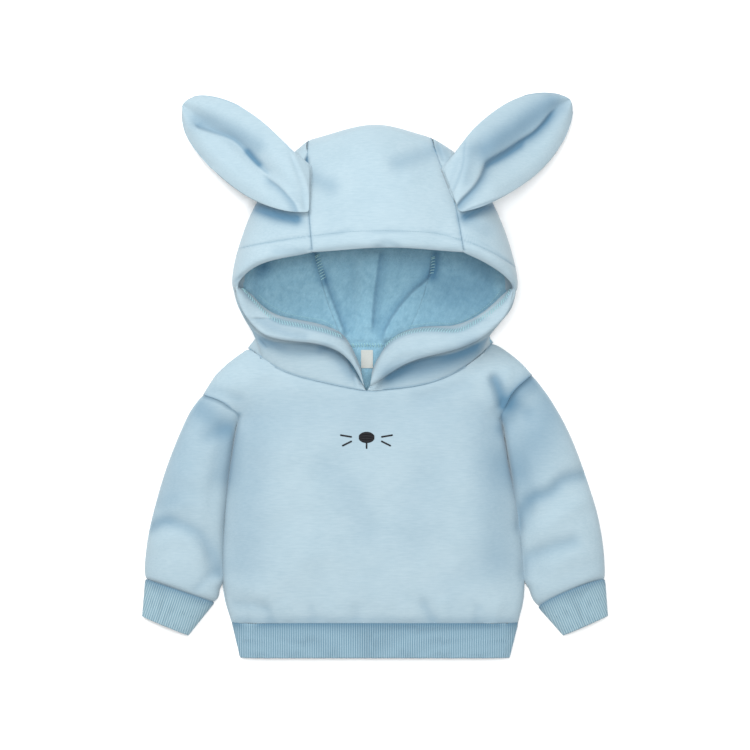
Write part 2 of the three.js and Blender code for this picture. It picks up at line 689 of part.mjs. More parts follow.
const label = new THREE.Mesh(
  labelBox,
  new THREE.MeshStandardMaterial({ color: COLOURS.label, roughness: 0.8, metalness: 0 }),
);
label.name = 'neck_label';
garment.add(label);

// The garment stands on the table, centred over the origin
const whole = new THREE.Box3().setFromObject(garment);
const centre = whole.getCenter(new THREE.Vector3());
for (const mesh of garment.children) mesh.geometry.translate(-centre.x, -centre.y, -whole.min.z);

export default garment;
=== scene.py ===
import math
import bmesh
import bpy
from mathutils import Matrix, Vector, noise
from mathutils.bvhtree import BVHTree
from mathutils.kdtree import KDTree


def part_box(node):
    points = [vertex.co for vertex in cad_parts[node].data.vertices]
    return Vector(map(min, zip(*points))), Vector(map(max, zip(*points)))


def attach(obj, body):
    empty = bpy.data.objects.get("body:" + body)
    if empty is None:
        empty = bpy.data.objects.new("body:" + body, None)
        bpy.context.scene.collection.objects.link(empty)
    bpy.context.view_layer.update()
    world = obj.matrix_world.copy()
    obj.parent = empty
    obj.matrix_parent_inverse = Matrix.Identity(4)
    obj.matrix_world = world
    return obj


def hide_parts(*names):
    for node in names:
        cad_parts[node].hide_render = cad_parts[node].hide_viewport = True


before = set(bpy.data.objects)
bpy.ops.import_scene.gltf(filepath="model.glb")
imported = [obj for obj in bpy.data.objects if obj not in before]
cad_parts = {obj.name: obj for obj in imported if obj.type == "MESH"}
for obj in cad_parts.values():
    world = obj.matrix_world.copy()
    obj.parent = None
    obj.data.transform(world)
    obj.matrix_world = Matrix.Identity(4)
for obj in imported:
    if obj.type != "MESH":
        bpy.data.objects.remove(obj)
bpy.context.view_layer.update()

# Places are given as they are seen from above, in picture units, with a height in millimetres
MM = 0.001
UNIT = 1.1 * MM
MIDDLE = 375
EYE_HEIGHT = 3.4
LABEL_X = 367
LABEL_Y = 359

label_low, label_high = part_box("neck_label")
label_near = UNIT * (1 - (label_low[2] + label_high[2]) / 2 / EYE_HEIGHT)
SHIFT_X = (label_low[0] + label_high[0]) / 2 - (LABEL_X - MIDDLE) * label_near
SHIFT_Y = (label_low[1] + label_high[1]) / 2 - (MIDDLE - LABEL_Y) * label_near
EYE = Vector((SHIFT_X, SHIFT_Y, EYE_HEIGHT))


def at(x, y, height=0.0):
    """The point seen at x, y in the picture at a height in millimetres over the table."""
    near = UNIT * (1 - height * MM / EYE_HEIGHT)
    return Vector(((x - MIDDLE) * near + SHIFT_X, (MIDDLE - y) * near + SHIFT_Y, height * MM))


def seen_at(point):
    """Where a point is seen in the picture."""
    near = UNIT * (1 - point.z / EYE_HEIGHT)
    return (point.x - SHIFT_X) / near + MIDDLE, MIDDLE - (point.y - SHIFT_Y) / near


def clamp(value, low=0.0, high=1.0):
    return max(low, min(high, value))


def ease(value):
    value = clamp(value)
    return value * value * (3 - 2 * value)


def fade(value, start, end):
    """0 before start, 1 past end and smooth between them, whichever of the two is larger."""
    return ease((value - start) / (end - start))


def bell(away, width):
    """1 on a line, and less and less away from it."""
    return math.exp(-(away / width) ** 2)


def to_path(path, x, y):
    """How far x, y is from a path of picture places, its side (above is positive) and its share along."""
    nearest = (1e9, 1.0, 0.0)
    for index in range(len(path) - 1):
        (ax, ay), (bx, by) = path[index], path[index + 1]
        dx, dy = bx - ax, by - ay
        share = clamp(((x - ax) * dx + (y - ay) * dy) / (dx * dx + dy * dy))
        away_x, away_y = x - ax - share * dx, y - ay - share * dy
        away = math.hypot(away_x, away_y)
        if away < nearest[0]:
            side = 1.0 if dx * away_y - dy * away_x < 0 else -1.0
            nearest = (away, side, (index + share) / (len(path) - 1))
    return nearest


# Materials


def material_nodes(name, roughness):
    material = bpy.data.materials.new(name)
    material.use_nodes = True
    tree = material.node_tree
    shader = tree.nodes["Principled BSDF"]
    shader.inputs["Roughness"].default_value = roughness
    return material, tree, shader


def shades(*colours):
    """Colours given in display values, from 0 to 255, as the shader wants them."""
    return [tuple(((c / 255 + 0.055) / 1.055) ** 2.4 for c in colour) for colour in colours]


def mapped(tree, scale=(1, 1, 1), turn=0.0):
    """Object coordinates, turned about the upright and then scaled each way."""
    coordinates = tree.nodes.new("ShaderNodeTexCoord")
    turned = tree.nodes.new("ShaderNodeMapping")
    turned.inputs["Rotation"].default_value = (0, 0, turn)
    stretched = tree.nodes.new("ShaderNodeMapping")
    stretched.inputs["Scale"].default_value = scale
    tree.links.new(coordinates.outputs["Object"], turned.inputs["Vector"])
    tree.links.new(turned.outputs["Vector"], stretched.inputs["Vector"])
    return stretched.outputs["Vector"]


def noise_node(tree, vector, scale=1.0, detail=3.0, rough=0.55):
    node = tree.nodes.new("ShaderNodeTexNoise")
    node.inputs["Scale"].default_value = scale
    node.inputs["Detail"].default_value = detail
    node.inputs["Roughness"].default_value = rough
    tree.links.new(vector, node.inputs["Vector"])
    return node.outputs["Fac"]


def ramp(tree, factor, *stops):
    node = tree.nodes.new("ShaderNodeValToRGB")
    elements = node.color_ramp.elements
    while len(elements) < len(stops):
        elements.new(0.5)
    for element, (place, colour) in zip(elements, stops):
        element.position = place
        element.color = (*colour, 1)
    tree.links.new(factor, node.inputs["Fac"])
    return node.outputs["Color"]


def mixed(tree, factor, first, second, mode="MIX"):
    node = tree.nodes.new("ShaderNodeMix")
    node.data_type = "RGBA"
    node.blend_type = mode
    if isinstance(factor, float):
        node.inputs["Factor"].default_value = factor
    else:
        tree.links.new(factor, node.inputs["Factor"])
    for socket, colour in (("A", first), ("B", second)):
        socket = [s for s in node.inputs if s.name == socket and s.type == "RGBA"][0]
        if isinstance(colour, tuple):
            socket.default_value = (*colour, 1)
        else:
            tree.links.new(colour, socket)
    return [s for s in node.outputs if s.type == "RGBA"][0]


def bump(tree, shader, height, strength, distance, before=None):
    node = tree.nodes.new("ShaderNodeBump")
    node.inputs["Strength"].default_value = strength
    node.inputs["Distance"].default_value = distance
    tree.links.new(height, node.inputs["Height"])
    if before is not None:
        tree.links.new(before, node.inputs["Normal"])
    tree.links.new(node.outputs["Normal"], shader.inputs["Normal"])
    return node.outputs["Normal"]


def mix_painted_shade(tree, colour, deep):
    """Painted shade: the colour is mixed towards a deep shade colour by a point attribute that says how much
    shade is painted on each place, in folds, seams and grooves and under laps.
    """
    painted_shade = tree.nodes.new("ShaderNodeAttribute")
    painted_shade.attribute_name = "painted_shade"
    return mixed(tree, painted_shade.outputs["Fac"], colour, deep)


def set_haze(shader, weight, roughness, specular):
    """A faint haze of raised fibre over cloth that has little gloss."""
    shader.inputs["Sheen Weight"].default_value = weight
    shader.inputs["Sheen Roughness"].default_value = roughness
    shader.inputs["Specular IOR Level"].default_value = specular


def jersey(name, light, dark, deep):
    """Smooth face of sweatshirt jersey: fine courses across, faint streaks and patches, and a little haze."""
    material, tree, shader = material_nodes(name, 0.95)
    light, dark, deep = shades(light, dark, deep)
    streaks = noise_node(tree, mapped(tree, (90, 700, 700)), detail=5.0)
    patches = noise_node(tree, mapped(tree), 26)
    colour = ramp(tree, streaks, (0.3, dark), (0.7, light))
    shade = ramp(tree, patches, (0.3, (0.93, 0.95, 0.96)), (0.7, (1, 1, 1)))
    colour = mixed(tree, 1.0, mix_painted_shade(tree, colour, deep), shade, "MULTIPLY")
    tree.links.new(colour, shader.inputs["Base Color"])
    courses = noise_node(tree, mapped(tree, (500, 1900, 1900)), detail=2.0)
    fibres = noise_node(tree, mapped(tree), 1300)
    first = bump(tree, shader, courses, strength=0.4, distance=0.0003)
    bump(tree, shader, fibres, strength=0.3, distance=0.0003, before=first)
    set_haze(shader, weight=0.2, roughness=0.5, specular=0.2)
    return material


def fleece(name, light, dark, deep):
    """Brushed inner face: soft clumps of raised fibre, combed into faint streaks."""
    material, tree, shader = material_nodes(name, 1.0)
    light, dark, deep = shades(light, dark, deep)
    clumps = noise_node(tree, mapped(tree), 150, 6.0, 0.7)
    combed = noise_node(tree, mapped(tree, (500, 110, 300), 0.5), 1.0, 4.0, 0.6)
    colour = ramp(tree, clumps, (0.32, dark), (0.68, light))
    streaks = ramp(tree, combed, (0.3, (0.86, 0.9, 0.92)), (0.65, (1, 1, 1)))
    colour = mixed(tree, 1.0, mix_painted_shade(tree, colour, deep), streaks, "MULTIPLY")
    tree.links.new(colour, shader.inputs["Base Color"])
    fluff = noise_node(tree, mapped(tree), 520, 5.0, 0.7)
    bump(tree, shader, fluff, strength=0.9, distance=0.0012)
    set_haze(shader, weight=0.15, roughness=0.7, specular=0.1)
    return material


def rib_knit(name, light, dark, deep):
    """Ribbed knit with a fine grain of stitches: shade is painted into its grooves, which the attribute
    hollow marks, and beside its seams.
    """
    material, tree, shader = material_nodes(name, 0.95)
    light, dark, deep = shades(light, dark, deep)
    hollow = tree.nodes.new("ShaderNodeAttribute")
    hollow.attribute_name = "hollow"
    grain = noise_node(tree, mapped(tree), 900)
    shade = ramp(tree, grain, (0.35, (0.9, 0.9, 0.9)), (0.65, (1, 1, 1)))
    colour = ramp(tree, hollow.outputs["Fac"], (0.1, light), (0.9, dark))
    colour = mixed(tree, 1.0, mix_painted_shade(tree, colour, deep), shade, "MULTIPLY")
    tree.links.new(colour, shader.inputs["Base Color"])
    bump(tree, shader, grain, strength=0.4, distance=0.0004)
    set_haze(shader, weight=0.1, roughness=0.5, specular=0.2)
    return material


def spun(name, colour, roughness=0.7):
    """Spun thread or woven tape with a fine grain."""
    material, tree, shader = material_nodes(name, roughness)
    (colour,) = shades(colour)
    grain = noise_node(tree, mapped(tree), 1800, 2.0)
    low = tuple(c * 0.8 for c in colour)
    tree.links.new(ramp(tree, grain, (0.35, low), (0.65, colour)), shader.inputs["Base Color"])
    bump(tree, shader, grain, strength=0.3, distance=0.0002)
    shader.inputs["Specular IOR Level"].default_value = 0.3
    return material


# Knits with a light and a dark colour, which vary at random on the jersey and the fleece and on the rib knit
# are its ribs and the painted shade in its grooves, and with the colour of painted shade in their folds;
# threads with one colour
OUTER = jersey("Jersey_face", (157, 176, 185), (149, 169, 179), (60, 104, 132))
INNER = fleece("Brushed_inside", (138, 179, 197), (118, 160, 180), (36, 92, 128))
RIB = rib_knit("Rib_knit", (143, 169, 182), (102, 134, 152), (68, 104, 128))
CUFF_RIB = rib_knit("Cuff_rib_knit", (152, 176, 185), (112, 142, 157), (70, 104, 128))
THREAD = spun("Overlock_thread", (156, 200, 206))
PALE_THREAD = spun("Top_stitch_thread", (140, 166, 178))
BLACK_THREAD = spun("Black_embroidery_thread", (26, 26, 30), 0.55)
LABEL_TAPE = spun("Label_tape", (186, 190, 186))

# Cloth walls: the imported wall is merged, sorted into its skins and rims, refined and then folded

OUTSIDE, INSIDE, RIM, SEAM = 0, 1, 2, 3
SKIN_TURN = math.radians(58)
SKIN_AREA = 0.0006
SEAM_REACH = 3.4 * MM
SEAM_TOUCH = 0.5 * MM
SEAM_LAP = 0.2 * MM
SEAM_FACING = 0.45
SKIN_FACING = 0.8
HOOD = ("hood_middle", "hood_left", "hood_right")

# Front edge of the hood all round, where the cloth is turned in
HOOD_EDGE = [
    (368, 390), (352, 362), (336, 349), (314, 343), (290, 341.5), (266, 338), (250, 324), (239, 307),
    (233.5, 290), (243, 276), (256, 266), (272, 260.5), (292, 256.5), (312.6, 253), (350, 249), (389, 248.5),
    (430, 250), (463.7, 253), (477, 258.5), (491, 266), (503, 274), (511.5, 282), (516.5, 291), (512, 307),
    (502, 322), (484, 338), (461, 349), (437, 354.5), (414, 360), (393, 370.5), (368.5, 390),
]


def tree_of(mesh):
    work = bmesh.new()
    work.from_mesh(mesh)
    tree = BVHTree.FromBMesh(work)
    work.free()
    return tree


PACKED = {name: tree_of(node.data) for name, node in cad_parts.items() if name != "neck_label"}


def meeting_place(node, point, facing):
    """The nearest place on a wall that a rim faces, where the two pieces are sewn together."""
    best = None
    for name, tree in PACKED.items():
        if name == node:
            continue
        place, _, _, far = tree.find_nearest(point, SEAM_REACH)
        if place is None or (best is not None and far >= best[1]):
            continue
        if far < SEAM_TOUCH or (place - point).normalized().dot(facing) > SEAM_FACING:
            best = (place, far, name)
    return best


def sort_skins(work):
    """Mark each face as outside, inside or rim: the two widest smooth regions are the skins."""
    groups = []
    left = set(work.faces)
    while left:
        start = left.pop()
        group, queue = [start], [start]
        while queue:
            face = queue.pop()
            for edge in face.edges:
                if len(edge.link_faces) != 2 or edge.calc_face_angle() > SKIN_TURN:
                    continue
                other = edge.link_faces[0] if edge.link_faces[1] is face else edge.link_faces[1]
                if other in left:
                    left.remove(other)
                    group.append(other)
                    queue.append(other)
        groups.append(group)
    areas = {id(group): sum(face.calc_area() for face in group) for group in groups}
    groups.sort(key=lambda group: -areas[id(group)])
    for place, group in enumerate(groups):
        kind = min(place, RIM)
        if place >= RIM and areas[id(group)] > SKIN_AREA:
            upward = sum((face.normal * face.calc_area() for face in group), Vector()).z
            kind = OUTSIDE if upward > 0 else INSIDE
        for face in group:
            face.material_index = kind


HOLLOW_MIDDLE = at(375, 250, 16)
HOLLOW_SHARE = 0.6
THICKEST_WALL = 5.2 * MM
RIM_DEPTH = 3.2 * MM
INTO_WALL = 0.2 * MM
OVER_WALL = 0.1 * MM
FLAT_ENOUGH = 0.6


def depth_behind(tree, centre, normal):
    """How far it is through the wall behind a face."""
    far = tree.ray_cast(centre - normal * INTO_WALL, -normal)[3]
    return 1.0 if far is None else far


def sort_hood(work):
    """Mark the faces of the hood, which folds in along its edge: its inside is what faces the hollow."""
    tree = BVHTree.FromBMesh(work)
    for face in work.faces:
        centre = face.calc_center_median()
        away = centre - HOLLOW_MIDDLE
        away.x *= 1 - HOLLOW_SHARE
        away.y *= 1 - HOLLOW_SHARE
        if depth_behind(tree, centre, face.normal) > THICKEST_WALL:
            face.material_index = RIM
        else:
            face.material_index = OUTSIDE if face.normal.dot(away) > 0 else INSIDE


def sort_ribbed(work):
    """Mark the faces of a flat tube of rib knit: its outer skin is what nothing of its own lies over."""
    tree = BVHTree.FromBMesh(work)
    for face in work.faces:
        centre = face.calc_center_median() + face.normal * OVER_WALL
        if abs(face.normal.z) < FLAT_ENOUGH:
            face.material_index = RIM
        elif tree.ray_cast(centre, face.normal)[0] is None:
            face.material_index = OUTSIDE
        else:
            face.material_index = INSIDE


def sort_faces(node, work, ribbed):
    """Mark each face of a wall as outside, inside or rim."""
    if ribbed:
        sort_ribbed(work)
    elif node in HOOD:
        sort_hood(work)
    else:
        sort_skins(work)
    if node.endswith("panel"):
        up, down = (OUTSIDE, INSIDE) if node == "front_panel" else (INSIDE, OUTSIDE)
        for face in work.faces:
            if face.material_index < RIM:
                face.material_index = up if face.normal.z > 0 else down


RIB_PITCH = 2.5 * MM
RIB_DEPTH = 0.5 * MM
RIB_MARGIN = 0.0003
RIB_LEVEL = 0.4
RIB_ROWS = (0.1, 0.5, 0.9)


def cut_through(work, place, way):
    """Cut the whole piece along the plane through a place."""
    geometry = [*work.verts, *work.edges, *work.faces]
    bmesh.ops.bisect_plane(work, geom=geometry, dist=1e-6, plane_co=place, plane_no=way)


def cut_ribs(work, turn):
    """Cut a rib-knit piece across at the top and bottom of each rib, and draw the cloth up and down there."""
    across = Vector((math.cos(turn), math.sin(turn), 0))
    places = [vertex.co.dot(across) for vertex in work.verts]
    step = RIB_PITCH / 2
    first = math.ceil((min(places) + RIB_MARGIN) / step)
    last = math.floor((max(places) - RIB_MARGIN) / step)
    for count in range(first, last + 1):
        cut_through(work, across * (count * step), across)
    along = Vector((-across.y, across.x, 0))
    rows = [vertex.co.dot(along) for vertex in work.verts]
    for share in RIB_ROWS:
        cut_through(work, along * (min(rows) + share * (max(rows) - min(rows))), along)
    work.normal_update()
    # hollow is 1 in each groove and 0 on each rib: the rib knit paints shade into its grooves by it
    hollow = work.verts.layers.float.new("hollow")
    moves = []
    for vertex in work.verts:
        wave = math.cos(math.pi * vertex.co.dot(across) / step)
        vertex[hollow] = 0.5 - 0.5 * wave
        skins = [face.normal.z for face in vertex.link_faces if face.material_index == OUTSIDE]
        share = 0.0 if any(face.material_index != OUTSIDE for face in vertex.link_faces) else 1.0
        way = sum(skins) / len(skins) if skins else 0.0
        moves.append(Vector((0, 0, way * RIB_DEPTH * (wave - RIB_LEVEL) * share)))
    for vertex, move in zip(work.verts, moves):
        vertex.co += move


def mark_seams(node, work):
    """Mark what faces a neighbour as seam, and give the ways that the faces round each of its points look."""
    own = BVHTree.FromBMesh(work)
    sewn = {}
    for face in work.faces:
        centre = face.calc_center_median()
        rim = face.material_index == RIM
        if not rim and depth_behind(own, centre, face.normal) < RIM_DEPTH:
            continue
        met = meeting_place(node, centre, face.normal)
        if met is None or (not rim and (met[0] - centre).normalized().dot(face.normal) < SKIN_FACING):
            continue
        face.material_index = SEAM
        for vertex in face.verts:
            sewn.setdefault(vertex, []).append(face.normal.copy())
    return sewn


def draw_up(node, sewn):
    """Move a seam onto its neighbour: an ear goes the whole way to the hood, and others meet half way."""
    for vertex, normals in sewn.items():
        facing = sum(normals, Vector()).normalized()
        met = meeting_place(node, vertex.co, facing)
        if met is None:
            continue
        share = 1.0 if node.startswith("ear") and not met[2].startswith("ear") else 0.5
        vertex.co = vertex.co.lerp(met[0], share) + facing * SEAM_LAP


def refined(node, levels, rib_turn=None):
    """A finer copy of a node's wall, drawn up to its neighbours and kept sharp where it is sewn to them."""
    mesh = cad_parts[node].data.copy()
    mesh.materials.clear()
    work = bmesh.new()
    work.from_mesh(mesh)
    bmesh.ops.remove_doubles(work, verts=work.verts, dist=1e-5)
    sort_faces(node, work, rib_turn is not None)
    bmesh.ops.join_triangles(
        work, faces=work.faces, cmp_seam=False, cmp_sharp=False, cmp_uvs=False, cmp_vcols=False,
        cmp_materials=True, angle_face_threshold=1.0, angle_shape_threshold=2.0,
    )
    if rib_turn is not None:
        cut_ribs(work, rib_turn)
    draw_up(node, mark_seams(node, work))
    crease = work.edges.layers.float.new("crease_edge")
    for edge in work.edges:
        kinds = {face.material_index for face in edge.link_faces}
        if SEAM in kinds and len(kinds) > 1:
            edge[crease] = 1.0
    work.to_mesh(mesh)
    work.free()
    rough = bpy.data.objects.new("work", mesh)
    bpy.context.collection.objects.link(rough)
    smoother = rough.modifiers.new("smooth", "SUBSURF")
    smoother.levels = levels
    smoother.render_levels = levels
    evaluated = rough.evaluated_get(bpy.context.evaluated_depsgraph_get())
    dense = bpy.data.meshes.new_from_object(evaluated)
    bpy.data.objects.remove(rough)
    return dense


def skin_facts(mesh):
    """For each point: the kinds of its faces, the outward way of its outer skin and how far off a seam is."""
    kinds = [set() for _ in mesh.vertices]
    ways = [Vector() for _ in mesh.vertices]
    for polygon in mesh.polygons:
        for index in polygon.vertices:
            kinds[index].add(polygon.material_index)
            if polygon.material_index == OUTSIDE:
                ways[index] += polygon.normal
    seam = [index for index, kind in enumerate(kinds) if SEAM in kind and OUTSIDE in kind]
    tree = KDTree(len(seam))
    for index in seam:
        tree.insert(mesh.vertices[index].co, index)
    tree.balance()
    far = [tree.find(vertex.co)[2] if seam else 1.0 for vertex in mesh.vertices]
    return kinds, ways, far


# Soft folds: places in the picture, half width in picture units and height in millimetres; shade is painted
# in each trough, more where it is deeper
BODY_FOLDS = [
    ([(226, 428), (208, 437)], 8, -1.8),
    ([(243, 432), (240, 480), (236, 530)], 9, 1.2),
    ([(214, 390), (238, 398)], 6, -1.2),
    ([(494, 379), (499, 390), (502, 404)], 6, -3.6),
    ([(486, 378), (491, 404)], 6, 1.6),
    ([(505, 384), (510, 372)], 5, 1.2),
    ([(498, 400), (506, 440), (512, 480)], 8, 1.0),
    ([(522, 526), (530.5, 500), (549.5, 491.6), (564, 479), (584, 474.7)], 7, -3.8),
    ([(528, 502), (560, 480)], 8, 1.6),
    ([(536, 532), (588, 498)], 9, 1.6),
    ([(525, 574), (530.5, 559), (543, 550.5), (572.6, 542)], 7, -2.4),
    ([(512, 400), (526, 412)], 8, -1.8),
    ([(552, 566), (592, 552)], 8, 1.0),
    ([(148, 530), (166, 521), (190.8, 529), (202.3, 538), (210, 553.7), (216, 573)], 6, -2.6),
    ([(156, 543), (182, 538), (200, 556)], 9, 1.7),
    ([(166, 504), (196, 506), (214, 520)], 8, 1.2),
    ([(168, 470), (205, 478)], 10, 1.0),
    ([(172, 500), (160, 505)], 7, -0.9),
    ([(212, 572), (196, 590)], 5, -1.2),
    ([(330, 466), (352, 496), (364, 530)], 18, -1.0),
    ([(430, 470), (410, 530)], 26, -0.8),
    ([(262, 585), (300, 560)], 20, 1.8),
    ([(440, 450), (470, 520)], 26, 1.7),
    ([(290, 430), (280, 500)], 24, 1.4),
    ([(455, 585), (490, 560)], 18, -0.7),
    ([(232, 586), (262, 594)], 8, 1.2),
    ([(236, 604), (262, 606)], 6, -1.2),
    ([(252, 610), (254, 620)], 5, 1.2),
    ([(268, 610), (271, 620)], 5, -1.2),
    ([(286, 606), (290, 620)], 5, 1.2),
    ([(312, 610), (313, 620)], 5, -0.8),
    ([(330, 610), (332, 620)], 6, 0.8),
    ([(356, 608), (356, 620)], 6, -0.8),
    ([(404, 610), (406, 620)], 6, 0.8),
    ([(424, 604), (433, 620)], 5, -1.6),
    ([(442, 604), (446, 620)], 6, 1.2),
    ([(478, 608), (476, 620)], 5, -1.0),
    ([(498, 606), (495, 620)], 6, 1.0),
    ([(270, 372), (300, 392)], 9, 0.8),
    ([(420, 398), (462, 384)], 10, -0.9),
]
HOOD_FOLDS = [
    ([(306.5, 160), (306.8, 173)], 2.0, -3.6),
    ([(312, 178), (330, 186)], 9, -2.4),
    ([(318, 196), (350, 200)], 10, 1.2),
    ([(398, 163), (436, 150)], 9, -2.6),
    ([(412, 174), (436, 170)], 7, 1.4),
    ([(446, 152), (452, 168)], 4, -1.6),
    ([(437, 142), (443, 160)], 2, -1.4),
    ([(378, 247), (388, 243), (398, 247)], 4, -1.4),
    ([(350, 244), (376, 240)], 8, 0.9),
    ([(276, 251), (304, 252)], 5, -1.2),
    ([(250, 234), (300, 222)], 9, 1.0),
    ([(470, 222), (486, 230)], 9, -1.6),
    ([(480, 246), (502, 260)], 6, 0.9),
    ([(232, 283), (242, 276)], 2.2, -1.6),
    ([(340, 150), (372, 158)], 14, 0.9),
    ([(258, 208), (277, 215), (296, 219)], 6, -4.0),
    ([(465, 216), (482, 209), (498, 205)], 5, -3.0),
]
BRIM_GROOVE = [
    (236, 249), (262, 243.5), (310, 236), (363, 231), (424, 232), (459, 239), (488, 250), (516, 267),
]
SECOND_GROOVE = [(459, 233), (473, 239), (488, 246), (502, 256), (514, 266)]
LIP_FOLDS = [
    ([(239, 284), (243, 300), (252, 312), (268, 325), (286, 333), (304, 337)], 5, -2.2),
    ([(262, 334), (290, 337), (320, 340), (344, 352), (358, 372)], 5, 1.6),
    ([(504, 316), (486, 330), (460, 341), (428, 348), (400, 352), (386, 364), (374, 380)], 6, 1.8),
    ([(350, 362), (356, 386)], 1.6, -0.9),
    ([(357, 364), (361, 386)], 1.6, -0.9),
    ([(259.6, 340), (266, 347)], 1.5, -1.4),
]

# Laps, where one part of the cloth stands over the next: path, raised side (1 is on its left hand), rise in
# millimetres, half width of the rise and of its steep side, dip and half width of the hollow, and painted
# shade there
LIP_LAPS = [
    ([(237, 303), (243, 316), (249, 324), (258, 333), (275, 340.5), (306, 342), (320, 344), (336.6, 349.4),
      (346, 356), (353, 363), (360, 374), (365, 388)], 1, 0.0, 4, 1.5, 1.6, 8, 0.42),
    ([(517, 294), (510.7, 311.4), (499.5, 324.8), (486, 337), (467, 347), (450, 352.7), (428, 356),
      (412.5, 360.5), (397, 368.3), (383.5, 377.3), (368, 390.7)], -1, 0.0, 4, 1.5, 1.6, 8, 0.5),
]
INNER_LAPS = [
    ([(378.5, 248), (377, 262), (373.6, 287), (371, 310), (370, 336)], -1, 2.6, 14, 3.6, 0.4, 9, 0.5),
    ([(437, 250), (434, 270), (429, 280), (421, 287), (414, 293), (404, 304), (396, 314.6), (390, 325),
      (385.6, 335), (383, 350)], 1, 3.6, 14, 2.8, 0.3, 8, 0.45),
    ([(318, 262), (325.4, 287.5), (332, 305), (338.8, 323), (345, 340)], -1, 2.8, 14, 2.6, 0.3, 8, 0.5),
]
INNER_FOLDS = [
    ([(364, 262), (362, 300), (361, 336)], 8, 1.6),
    ([(350, 262), (351, 320)], 7, -1.0),
    ([(270, 300), (300, 292)], 14, 2.0),
    ([(452, 300), (480, 300)], 14, 2.2),
    ([(246, 270), (252, 290)], 8, -3.0),
]


def box_of(path, reach):
    xs = [place[0] for place in path]
    ys = [place[1] for place in path]
    return min(xs) - reach, max(xs) + reach, min(ys) - reach, max(ys) + reach


def between(a, b, c, d, share):
    """A place on the smooth curve from b to c, where a comes before them and d after."""
    bend = 2 * a - 5 * b + 4 * c - d
    twist = 3 * b - a - 3 * c + d
    return 0.5 * (2 * b + (c - a) * share + bend * share * share + twist * share * share * share)


def smoothed(path):
    """The same path with its corners rounded, as places close together."""
    if len(path) < 3:
        return path
    points = [(2 * path[0][0] - path[1][0], 2 * path[0][1] - path[1][1]), *path,
              (2 * path[-1][0] - path[-2][0], 2 * path[-1][1] - path[-2][1])]
    fine = []
    for index in range(1, len(points) - 2):
        around = list(zip(*points[index - 1:index + 3]))
        for part in range(3):
            fine.append(tuple(between(*values, part / 3) for values in around))
    return [*fine, path[-1]]


def ready(folds, laps=()):
    """Folds and laps with their paths smoothed and the box that each can reach."""
    soft = [(smoothed(path), box_of(path, 3 * width), width, height) for path, width, height in folds]
    over = [(smoothed(lap[0]), box_of(lap[0], 3 * max(lap[3], lap[6])), *lap[1:]) for lap in laps]
    return soft, over


# Shade painted in a trough for each millimetre of its depth; how sharply laps fade in at their ends; the half
# width along a lap's edge that is kept free of painted shade
PAINTED_SHADE_OF_DEPTH = 0.11
LAP_ENDS = 7
LAP_LINE = 1.4


def folded(table, x, y):
    """How far the folds lift the cloth seen at x, y, in millimetres, and how much shade is painted there, in
    troughs and in the hollows under laps.
    """
    rise, painted_shade = 0.0, 0.0
    for path, (low_x, high_x, low_y, high_y), width, height in table[0]:
        if low_x < x < high_x and low_y < y < high_y:
            amount = bell(to_path(path, x, y)[0], width)
            rise += height * amount
            painted_shade += max(0.0, -height) * amount * PAINTED_SHADE_OF_DEPTH
    for path, (low_x, high_x, low_y, high_y), raised, height, wide, steep, dip, hollow, deep in table[1]:
        if low_x < x < high_x and low_y < y < high_y:
            away, side, along = to_path(path, x, y)
            ends = ease(along * LAP_ENDS) * ease((1 - along) * LAP_ENDS)
            if side == raised:
                rise += height * bell(away, wide) * ends
            else:
                wall = bell(away, steep)
                amount = bell(away, hollow)
                rise += (height * wall - dip * amount * (1 - wall)) * ends
                painted_shade += deep * amount * (1 - bell(away, LAP_LINE)) * ends
    return rise, painted_shade


def unevenness(point, scale, seed):
    """A soft waviness of the cloth, from -1 to 1, the same on every run."""
    return noise.noise(Vector((point.x * scale + seed, point.y * scale - seed, point.z * scale * 0.5)))


def waves(point, rows):
    """The waviness of rows, each given as its height in millimetres, its scale and its seed."""
    return sum(height * unevenness(point, scale, seed) for height, scale, seed in rows)


NECKLINE = smoothed([
    (247, 349), (265, 361), (287, 373), (322, 382.5), (345, 387.5), (367, 391.5), (406, 388),
    (428, 384), (450, 376), (467, 366), (482, 354), (494, 343),
])
# Seams draw the cloth down in a narrow line and a wide round, in millimetres, with shade painted along the
# narrow line, and folds fade out towards them
SEAM_DIP = 0.55
SEAM_WIDTH = 1.4
SEAM_PAINTED_SHADE = 0.42
SEAM_ROUND = 0.6
SEAM_ROUND_WIDTH = 5.0
SEAM_HOLD = 7
NECK_HOLD = 12


def press_seams(mesh, facts, strength=1.0):
    """Draw the outer skin down along its seams and paint shade along their narrow line; this gives each point
    its first painted shade.
    """
    kinds, ways, far = facts
    painted_shades = []
    for vertex, kind, way, away in zip(mesh.vertices, kinds, ways, far):
        if OUTSIDE not in kind or away > 3 * SEAM_ROUND_WIDTH * MM:
            painted_shades.append(0.0)
            continue
        line = bell(away / MM, SEAM_WIDTH)
        wide = bell(away / MM, SEAM_ROUND_WIDTH)
        vertex.co -= way.normalized() * (SEAM_DIP * line + SEAM_ROUND * wide) * strength * MM
        painted_shades.append(SEAM_PAINTED_SHADE * line * strength)
    return painted_shades


# The sleeves lie against the body here, and are drawn up to it down to their cuffs
TOUCH_LEFT = smoothed([
    (236.5, 418), (233, 433), (229, 457), (226, 477), (224, 493), (222, 520), (221.5, 560), (222, 580),
])
TOUCH_RIGHT = smoothed([
    (503, 419), (507, 440), (511.5, 470), (516.5, 495), (520.7, 524), (524.3, 566), (525, 580),
])
TOUCH_REACH = 14
TOUCH_COLUMNS = 40
TOUCH_ROWS = (592, 578)
TOUCH_GROWTH = 1.8
TOUCH_SHIFT = 4.2
BODY_TOUCH = -0.15
BODY_TABLE = ready(BODY_FOLDS)
